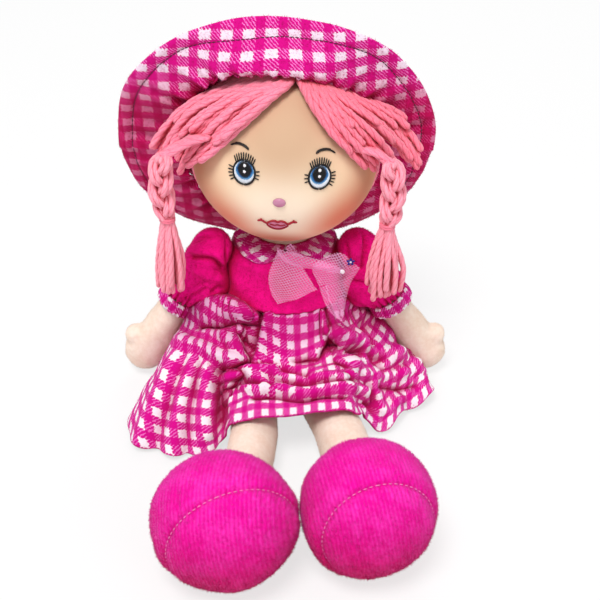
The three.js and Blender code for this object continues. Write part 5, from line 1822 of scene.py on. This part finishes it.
def grid_normals(points):
    """The way out from a sheet of rows that goes round and closes."""
    down = np.gradient(points, axis=0)
    round_ = np.roll(points, -1, axis=1) - np.roll(points, 1, axis=1)
    normal = np.cross(down, round_)
    normal /= np.maximum(np.linalg.norm(normal, axis=-1, keepdims=True), 1e-9)
    return normal


# The large folds, each as its height, its reach to the left and to the right of its way, and the
# points of its way. Reaches and points are where the camera sees them, in pixels. A height below 0
# is a hollow.
FOLDS = [
    # The front panel's two pleats.
    (-5.5, 1.6, 6, [(263.2, 313.2), (259.4, 331.5), (254.9, 350.2), (252.8, 359.5)]),
    (2.2, 5, 2, [(267.7, 314.5), (264.0, 331.5), (259.4, 350.2), (257.8, 357.4)]),
    (-4.5, 6, 1.8, [(324.1, 310.7), (327.9, 327.3), (326.2, 343.9), (318.1, 356.0)]),
    (1.6, 2, 5, [(320.4, 312.8), (323.7, 327.3), (322.1, 342.9), (314.0, 353.3)]),
    # The puff and the dark roll under it, on the left of the waist.
    (6.5, 7, 9, [(177.1, 321.1), (190.5, 311.8), (209.2, 305.6), (227.9, 305.6), (244.5, 312.8)]),
    (-4.0, 3, 3, [(199.0, 327.3), (210.0, 326.6), (222.0, 326.9), (236.2, 323.2), (252.8, 324.2)]),
    (3.0, 4, 5, [(207.1, 317.0), (223.7, 314.9), (242.4, 317.0), (256.9, 321.1)]),
    (-2.5, 3, 3, [(236.2, 331.5), (244.5, 341.9), (248.6, 352.2)]),
    (2.6, 5, 5, [(223.7, 334.6), (233.1, 345.0), (238.3, 355.4)]),
    # The long roll that runs from the left hip under the panel.
    (4.6, 5, 6, [(186.0, 341.0), (195.6, 345.0), (209.2, 350.2), (230.0, 358.5), (263.2, 361.6),
                 (286.0, 364.7)]),
    (-4.0, 4, 4, [(223.7, 370.5), (248.6, 368.4), (277.7, 371.3), (306.7, 378.2)]),
    # The cloth folded over in front, with a hollow under it.
    (6.5, 5, 4, [(221.2, 378.2), (234.1, 373.8), (252.8, 372.6), (274.6, 374.6)]),
    (-6.5, 3, 4, [(224.8, 392.1), (236.2, 387.1), (252.8, 384.4), (269.4, 387.5)]),
    (3.0, 4, 3, [(252.8, 378.2), (263.2, 384.4), (265.2, 391.7)]),
    # Thin rolls across the lap.
    (3.8, 4, 2, [(274.6, 379.6), (298.4, 381.3), (327.5, 379.6), (342.0, 380.9)]),
    (-2.6, 1.5, 3, [(279.8, 384.4), (306.7, 385.9), (339.9, 383.8)]),
    (4.4, 5, 3, [(242.4, 387.5), (263.2, 392.1), (283.9, 391.7), (302.6, 396.2), (327.5, 391.7),
                 (350.3, 389.6), (365.9, 400.0)]),
    (-3.4, 2, 3, [(252.8, 398.3), (277.7, 397.5), (300.5, 401.2), (319.2, 397.5), (346.1, 396.6)]),
    (2.4, 4, 4, [(312.9, 373.0), (335.8, 372.0), (352.4, 377.1)]),
    # Slanting rolls from the right of the waist.
    (5.0, 6, 5, [(327.5, 331.5), (348.2, 339.0), (369.0, 349.1), (389.7, 356.0), (410.5, 364.7)]),
    (-4.4, 4, 5, [(329.5, 347.1), (348.2, 350.2), (366.9, 352.2), (381.4, 370.9)]),
    (4.4, 6, 4, [(317.1, 358.5), (339.9, 360.1), (358.6, 372.0), (369.0, 387.5)]),
    (-4.2, 4, 5, [(364.8, 381.3), (370.0, 397.9), (367.9, 410.3)]),
    (4.6, 5, 5, [(370.0, 312.8), (380.4, 334.6), (391.8, 356.4)]),
    (-3.8, 4, 4, [(361.7, 319.0), (369.0, 339.8), (381.4, 359.5)]),
    (3.6, 6, 4, [(377.3, 376.1), (395.9, 375.5), (418.8, 371.3)]),
    (-3.4, 4, 4, [(377.3, 387.5), (395.9, 391.7), (414.6, 387.5)]),
    (3.4, 5, 4, [(372.1, 405.1), (387.6, 410.3), (402.2, 403.7)]),
    (3.4, 4, 4, [(339.9, 302.4), (352.4, 306.6), (364.8, 319.0)]),
    # The deep fold between the front and the flap on the left.
    (-8.0, 6, 7, [(222.1, 372.0), (219.2, 387.5), (222.1, 402.0), (226.8, 419.7)]),
    (3.4, 7, 5, [(236.2, 387.5), (233.1, 403.1), (236.2, 419.7)]),
    (3.4, 6, 9, [(208.2, 373.0), (207.1, 402.0), (206.1, 433.2)]),
    # Long ridges down the flap on the left.
    (3.6, 7, 8, [(182.2, 350.2), (166.7, 381.3), (151.1, 416.6), (141.8, 442.5)]),
    (-2.4, 5, 6, [(188.5, 358.5), (176.0, 389.6), (164.6, 422.8), (157.3, 449.8)]),
    (3.6, 7, 8, [(192.6, 358.5), (184.3, 389.6), (177.1, 422.8), (172.9, 453.9)]),
    (-2.2, 5, 5, [(199.9, 366.8), (192.6, 397.9), (188.5, 431.1), (186.4, 456.0)]),
]

FOLD_DEPTH = 1.3

V = v[:, None]
N = centred[None, :]
middle = np.sin(math.pi * np.clip(V, 0, 1))
in_front = smoothstep(9.6, 8.2, np.abs(N))
seen = seen_at(base)
lift = np.zeros((SKIRT_ROWS, SKIRT_COLUMNS))
for high, left, right, line in FOLDS:
    lift += in_front * fold_height(seen, high * FOLD_DEPTH, left, right, line)
# Crumples on the doll's left.
places = base.reshape(-1, 3)
crumple = (1 - 2 * np.abs(np.sin(lumps(places, 30, 71) * 2.2))).reshape(lift.shape)
small = lumps(places, 13, 72).reshape(lift.shape)
on_left = smoothstep(1.9, 3.2, N) * smoothstep(10.5, 8.5, N)
lift += on_left * (2.0 * crumple + 0.8 * small) * (0.35 + 0.65 * middle)
# Soft gathers all round under the waist and small unevenness everywhere.
gathers = np.sin(46 * turn + 2.5 * np.sin(5 * turn))[None, :]
off_panel = smoothstep(1.5, 2.4, np.abs(N))
under_waist = smoothstep(0, 0.1, V) * smoothstep(0.5, 0.12, V)
lift += off_panel * (1.1 - 0.9 * puff)[None, :] * gathers * under_waist
behind = smoothstep(7.5, 9.5, np.abs(N))
lift += behind * 3.2 * np.sin(1.9 * N + 1.4 * V) * middle
lift += 0.4 * small + 0.6 * lumps(places, 24, 73).reshape(lift.shape) * middle
lift *= smoothstep(0, 0.04, V)

normal = grid_normals(base)
skirt_points = base + normal * lift[..., None]
# The crumpled hem ruffles.
ruffle = on_left * smoothstep(0.6, 1.0, V)
skirt_points += ruffle[..., None] * (out * 4.2 * np.sin(hem_run / 7.3 + 1)[:, None])
skirt_points[..., 2] += ruffle * (3.2 + 3.2 * np.sin(hem_run / 5.2))
# Cloth lies on the floor and on the legs, never in them.
LOWEST, EASE = 1.9, 2
height = skirt_points[..., 2]
eased_height = LOWEST + EASE * np.exp((height - LOWEST - EASE) / EASE)
skirt_points[..., 2] = np.where(height < LOWEST + EASE, eased_height, height)


def clear_of_legs(points):
    """Lifts points that would be inside a leg."""
    for name in SIDES:
        forward, across = leg_axes(name)
        from_hip = points - HIPS[name]
        from_hip[..., 0] -= LEG_ASIDE[name] * smoothstep(-40, -85, points[..., 1])
        along = from_hip @ forward
        side = from_hip @ across
        high = from_hip[..., 2]
        radius = 17.5 * LEG_SHARE[name] + 2.0
        inside = (along > -10) & (side ** 2 + high ** 2 < radius ** 2) & (high > -2)
        lifted = HIPS[name][2] + np.sqrt(np.maximum(radius ** 2 - side ** 2, 0))
        points[..., 2] = np.where(inside, np.maximum(points[..., 2], lifted), points[..., 2])
    return points


skirt_points = clear_of_legs(skirt_points)
steps_down = np.linalg.norm(np.diff(skirt_points, axis=0, prepend=skirt_points[:1]), axis=-1)
down_run = np.cumsum(steps_down, axis=0)
# The check keeps its rows over the folds: the cloth's run is evened out over its neighbours.
NEIGHBOURS = range(-14, 15)
down_run = sum(np.roll(down_run, shift, axis=1) for shift in NEIGHBOURS) / len(NEIGHBOURS)
from_hem = down_run[-1:] - down_run
blend = smoothstep(0.25, 0.7, V)
flat_down = down_run * (1 - blend) + (SKIRT_LENGTH - from_hem) * blend
steps_round = np.linalg.norm(np.diff(base, axis=1, append=base[:, :1]), axis=-1)
row_run = np.cumsum(steps_round, axis=1) - steps_round
round_back = row_run - steps_round.sum(axis=1)[:, None]
row_run = np.where(hem_run[None, :] > hem_total / 2, round_back, row_run)
flat_round = DRAWN_IN * run[None, :] + (1 - DRAWN_IN) * row_run
pattern = np.stack([flat_round, HEM_CHECK - flat_down], axis=-1).reshape(-1, 2)
print("skirt lengths:", np.round(down_run[-1, ::55]))

faces = grid_faces(SKIRT_ROWS, SKIRT_COLUMNS, wrap=True)
skirt = make_piece("skirt_check", skirt_points.reshape(-1, 3), faces, skirt_cloth, pattern)
skirt = outward(thickened(skirt, SKIRT_THICKNESS))
skirt = napped(skirt, 0.05, 1.1, 0.15, 1.0, seed=75)
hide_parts("skirt_front", "skirt_back")
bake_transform(skirt)
print(f"{skirt.name}: {len(skirt.data.polygons)} faces between lap and torso")

# %% [markdown]
# ## Legs and boots
#
# A boot is a stuffed ball of long-lying plush in two parts. The seam between them is sewn from the
# wrong side, so it is drawn into a groove, and the stuffing puffs up beside it.

# %%
SEAM_TILT = {"left": math.radians(-4), "right": math.radians(4)}
SEAM_YAW = {"left": math.radians(24), "right": math.radians(3)}
SEAM_FORWARD = {"left": 14.0, "right": 20.0}
BOOT_HALVES = {"left": np.array((42.5, 38.0, 41.5)), "right": np.array((39.8, 38.0, 41.5))}
BOOT_REACH = {"left": 160.0, "right": 152.0}
RIM_REACH = {"left": 121.0, "right": 114.5}
LEG_SEED = {"left": 41, "right": 47}
BOOT_ROWS, BOOT_COLUMNS = 150, 220
RIM_ROWS, RIM_COLUMNS = 26, 140
ON_FLOOR = 0.15
UP = np.array((0.0, 0.0, 1.0))

for name in SIDES:
    seed = LEG_SEED[name]
    forward, across = leg_axes(name)
    leg = softened(f"leg_{name}", f"leg_{name}_plush", 1.8, 10, cream_plush)
    points = lumpy_points(leg, 0.4, 22, seed)
    # Slimmed towards its axis and moved aside, more and more towards the boot.
    away = points - HIPS[name]
    on_axis = HIPS[name] + (away @ forward)[:, None] * forward
    past = smoothstep(-40, -85, points[:, 1])[:, None]
    points = points + (on_axis - points) * (1 - LEG_SHARE[name]) * past
    points[:, 0] += LEG_ASIDE[name] * past[:, 0]
    points[:, 2] = np.maximum(points[:, 2], 0.05)
    set_points(leg, points)
    leg = napped(leg, 1.3, 0.8, 0.12, 0.9, seed=seed)
    dress(leg, f"leg_{name}", "limb_plush", f"leg_{name}")

    # The sphere's pole points along the leg, so the seam cuts across its rows.
    boot_half = BOOT_HALVES[name]
    centre = HIPS[name] + forward * BOOT_REACH[name]
    centre[2] = boot_half[2] - 0.5
    climbs = np.linspace(-math.pi / 2, math.pi / 2, BOOT_ROWS + 2)[1:-1]
    climb, turn = np.meshgrid(climbs, turns_round(BOOT_COLUMNS), indexing="ij")
    ball = np.stack([np.cos(climb) * np.sin(turn), -np.sin(climb), np.cos(climb) * np.cos(turn)],
                    axis=-1)
    ball = np.vstack([ball.reshape(-1, 3), (0, 1, 0), (0, -1, 0)])
    local = ball * boot_half
    lean, turned_in = math.tan(SEAM_TILT[name]), math.tan(SEAM_YAW[name])
    to_toe = -local[:, 1] - SEAM_FORWARD[name] + local[:, 2] * lean + local[:, 0] * turned_in
    to_toe = to_toe / math.sqrt(1 + lean ** 2 + turned_in ** 2)
    normal = ball / boot_half
    normal /= np.linalg.norm(normal, axis=1, keepdims=True)
    # The groove of the seam, the puffed cloth beside it, soft lumps and small puckers.
    swell = -1.7 * np.exp(-(to_toe / 1.5) ** 2) + 1.1 * np.exp(-((np.abs(to_toe) - 7) / 5) ** 2)
    swell += 0.7 * lumps(local, 34, seed) + 0.22 * lumps(local, 7, seed + 1)
    pucker = np.exp(-(to_toe / 4.5) ** 2) * 0.35 * np.sin(np.arctan2(local[:, 2], local[:, 0]) * 60)
    if name == "left":
        # A short dart runs from the seam towards the ankle.
        dart_x = local[:, 0] + 20 - 0.25 * to_toe
        upper_heel = (to_toe < 0) * (local[:, 2] > 0)
        swell -= 1.3 * np.exp(-(dart_x / 1.6) ** 2) * smoothstep(-24, -8, to_toe) * upper_heel
    local = local + normal * (swell + pucker)[:, None]
    points = centre + local[:, :1] * across - local[:, 1:2] * forward + local[:, 2:] * UP
    # Near the floor the ball flattens.
    height = points[:, 2]
    flattened = ON_FLOOR + 3 * np.exp((height - 3) / 3) * 0.95
    points[:, 2] = np.where(height < 3, flattened, height)
    around = np.arctan2(ball[:, 0], ball[:, 2])
    pattern = np.stack([local[:, 0] + 0.15 * local[:, 2], around * 30], axis=-1)
    faces = ball_faces(BOOT_ROWS, BOOT_COLUMNS)
    boot = outward(make_piece(f"boot_{name}_plush", points, faces, boot_plush, pattern))
    comb = tuple(-0.5 * forward + np.array((0, 0, 0.2)))
    boot = napped(boot, 1.5, 1.7, 0.17, 0.9, comb=comb, seed=seed)
    dress(boot, f"leg_{name}", "boot_plush", f"boot_upper_{name}", f"boot_sole_{name}")

    # The seam's thread shows as short stitches in the groove.
    turns = np.linspace(0, TAU, 240)[:-1]
    seam_side = boot_half[0] * np.sin(turns)
    seam_up = boot_half[2] * np.cos(turns)
    shrink = np.ones(len(turns))
    for _ in range(30):
        toe = SEAM_FORWARD[name] - shrink * (seam_up * lean + seam_side * turned_in)
        shrink = (shrink + np.sqrt(np.clip(1 - (toe / boot_half[1]) ** 2, 0, 1))) / 2
    in_groove = shrink * 0.985
    line = centre + (seam_side * in_groove)[:, None] * across + toe[:, None] * forward + (
        seam_up * in_groove)[:, None] * UP
    line = line[line[:, 2] > 3]
    seam = stitches(f"boot_seam_{name}", line, seam_thread, 3.4, 2.1, 0.32)
    dress(seam, f"leg_{name}", "boot_plush")

    # The rim is a rolled edge of the same plush round the ankle.
    turns = turns_round(RIM_COLUMNS)
    rows = []
    for t in turns_round(RIM_ROWS):
        reach = 18.6 + 3.0 * math.sin(t) + 0.5 * np.sin(17 * turns + seed) + 0.5 * math.sin(t * 2)
        along = RIM_REACH[name] + 8.0 * math.cos(t)
        rows.append(hoop(HIPS[name] + forward * along, reach, across, UP))
    rows = np.vstack(rows)
    rows[:, 2] = np.maximum(rows[:, 2], ON_FLOOR)
    flats = [np.tile(turns * 21, RIM_ROWS), np.repeat(np.arange(RIM_ROWS), RIM_COLUMNS)]
    rim = make_piece(f"boot_rim_{name}_plush", rows, loop_faces(RIM_ROWS, RIM_COLUMNS), boot_plush,
                     np.stack(flats, axis=-1))
    rim = napped(outward(rim), 1.6, 1.4, 0.16, 0.9, seed=seed + 2)
    dress(rim, f"leg_{name}", "boot_plush", f"boot_rim_{name}")
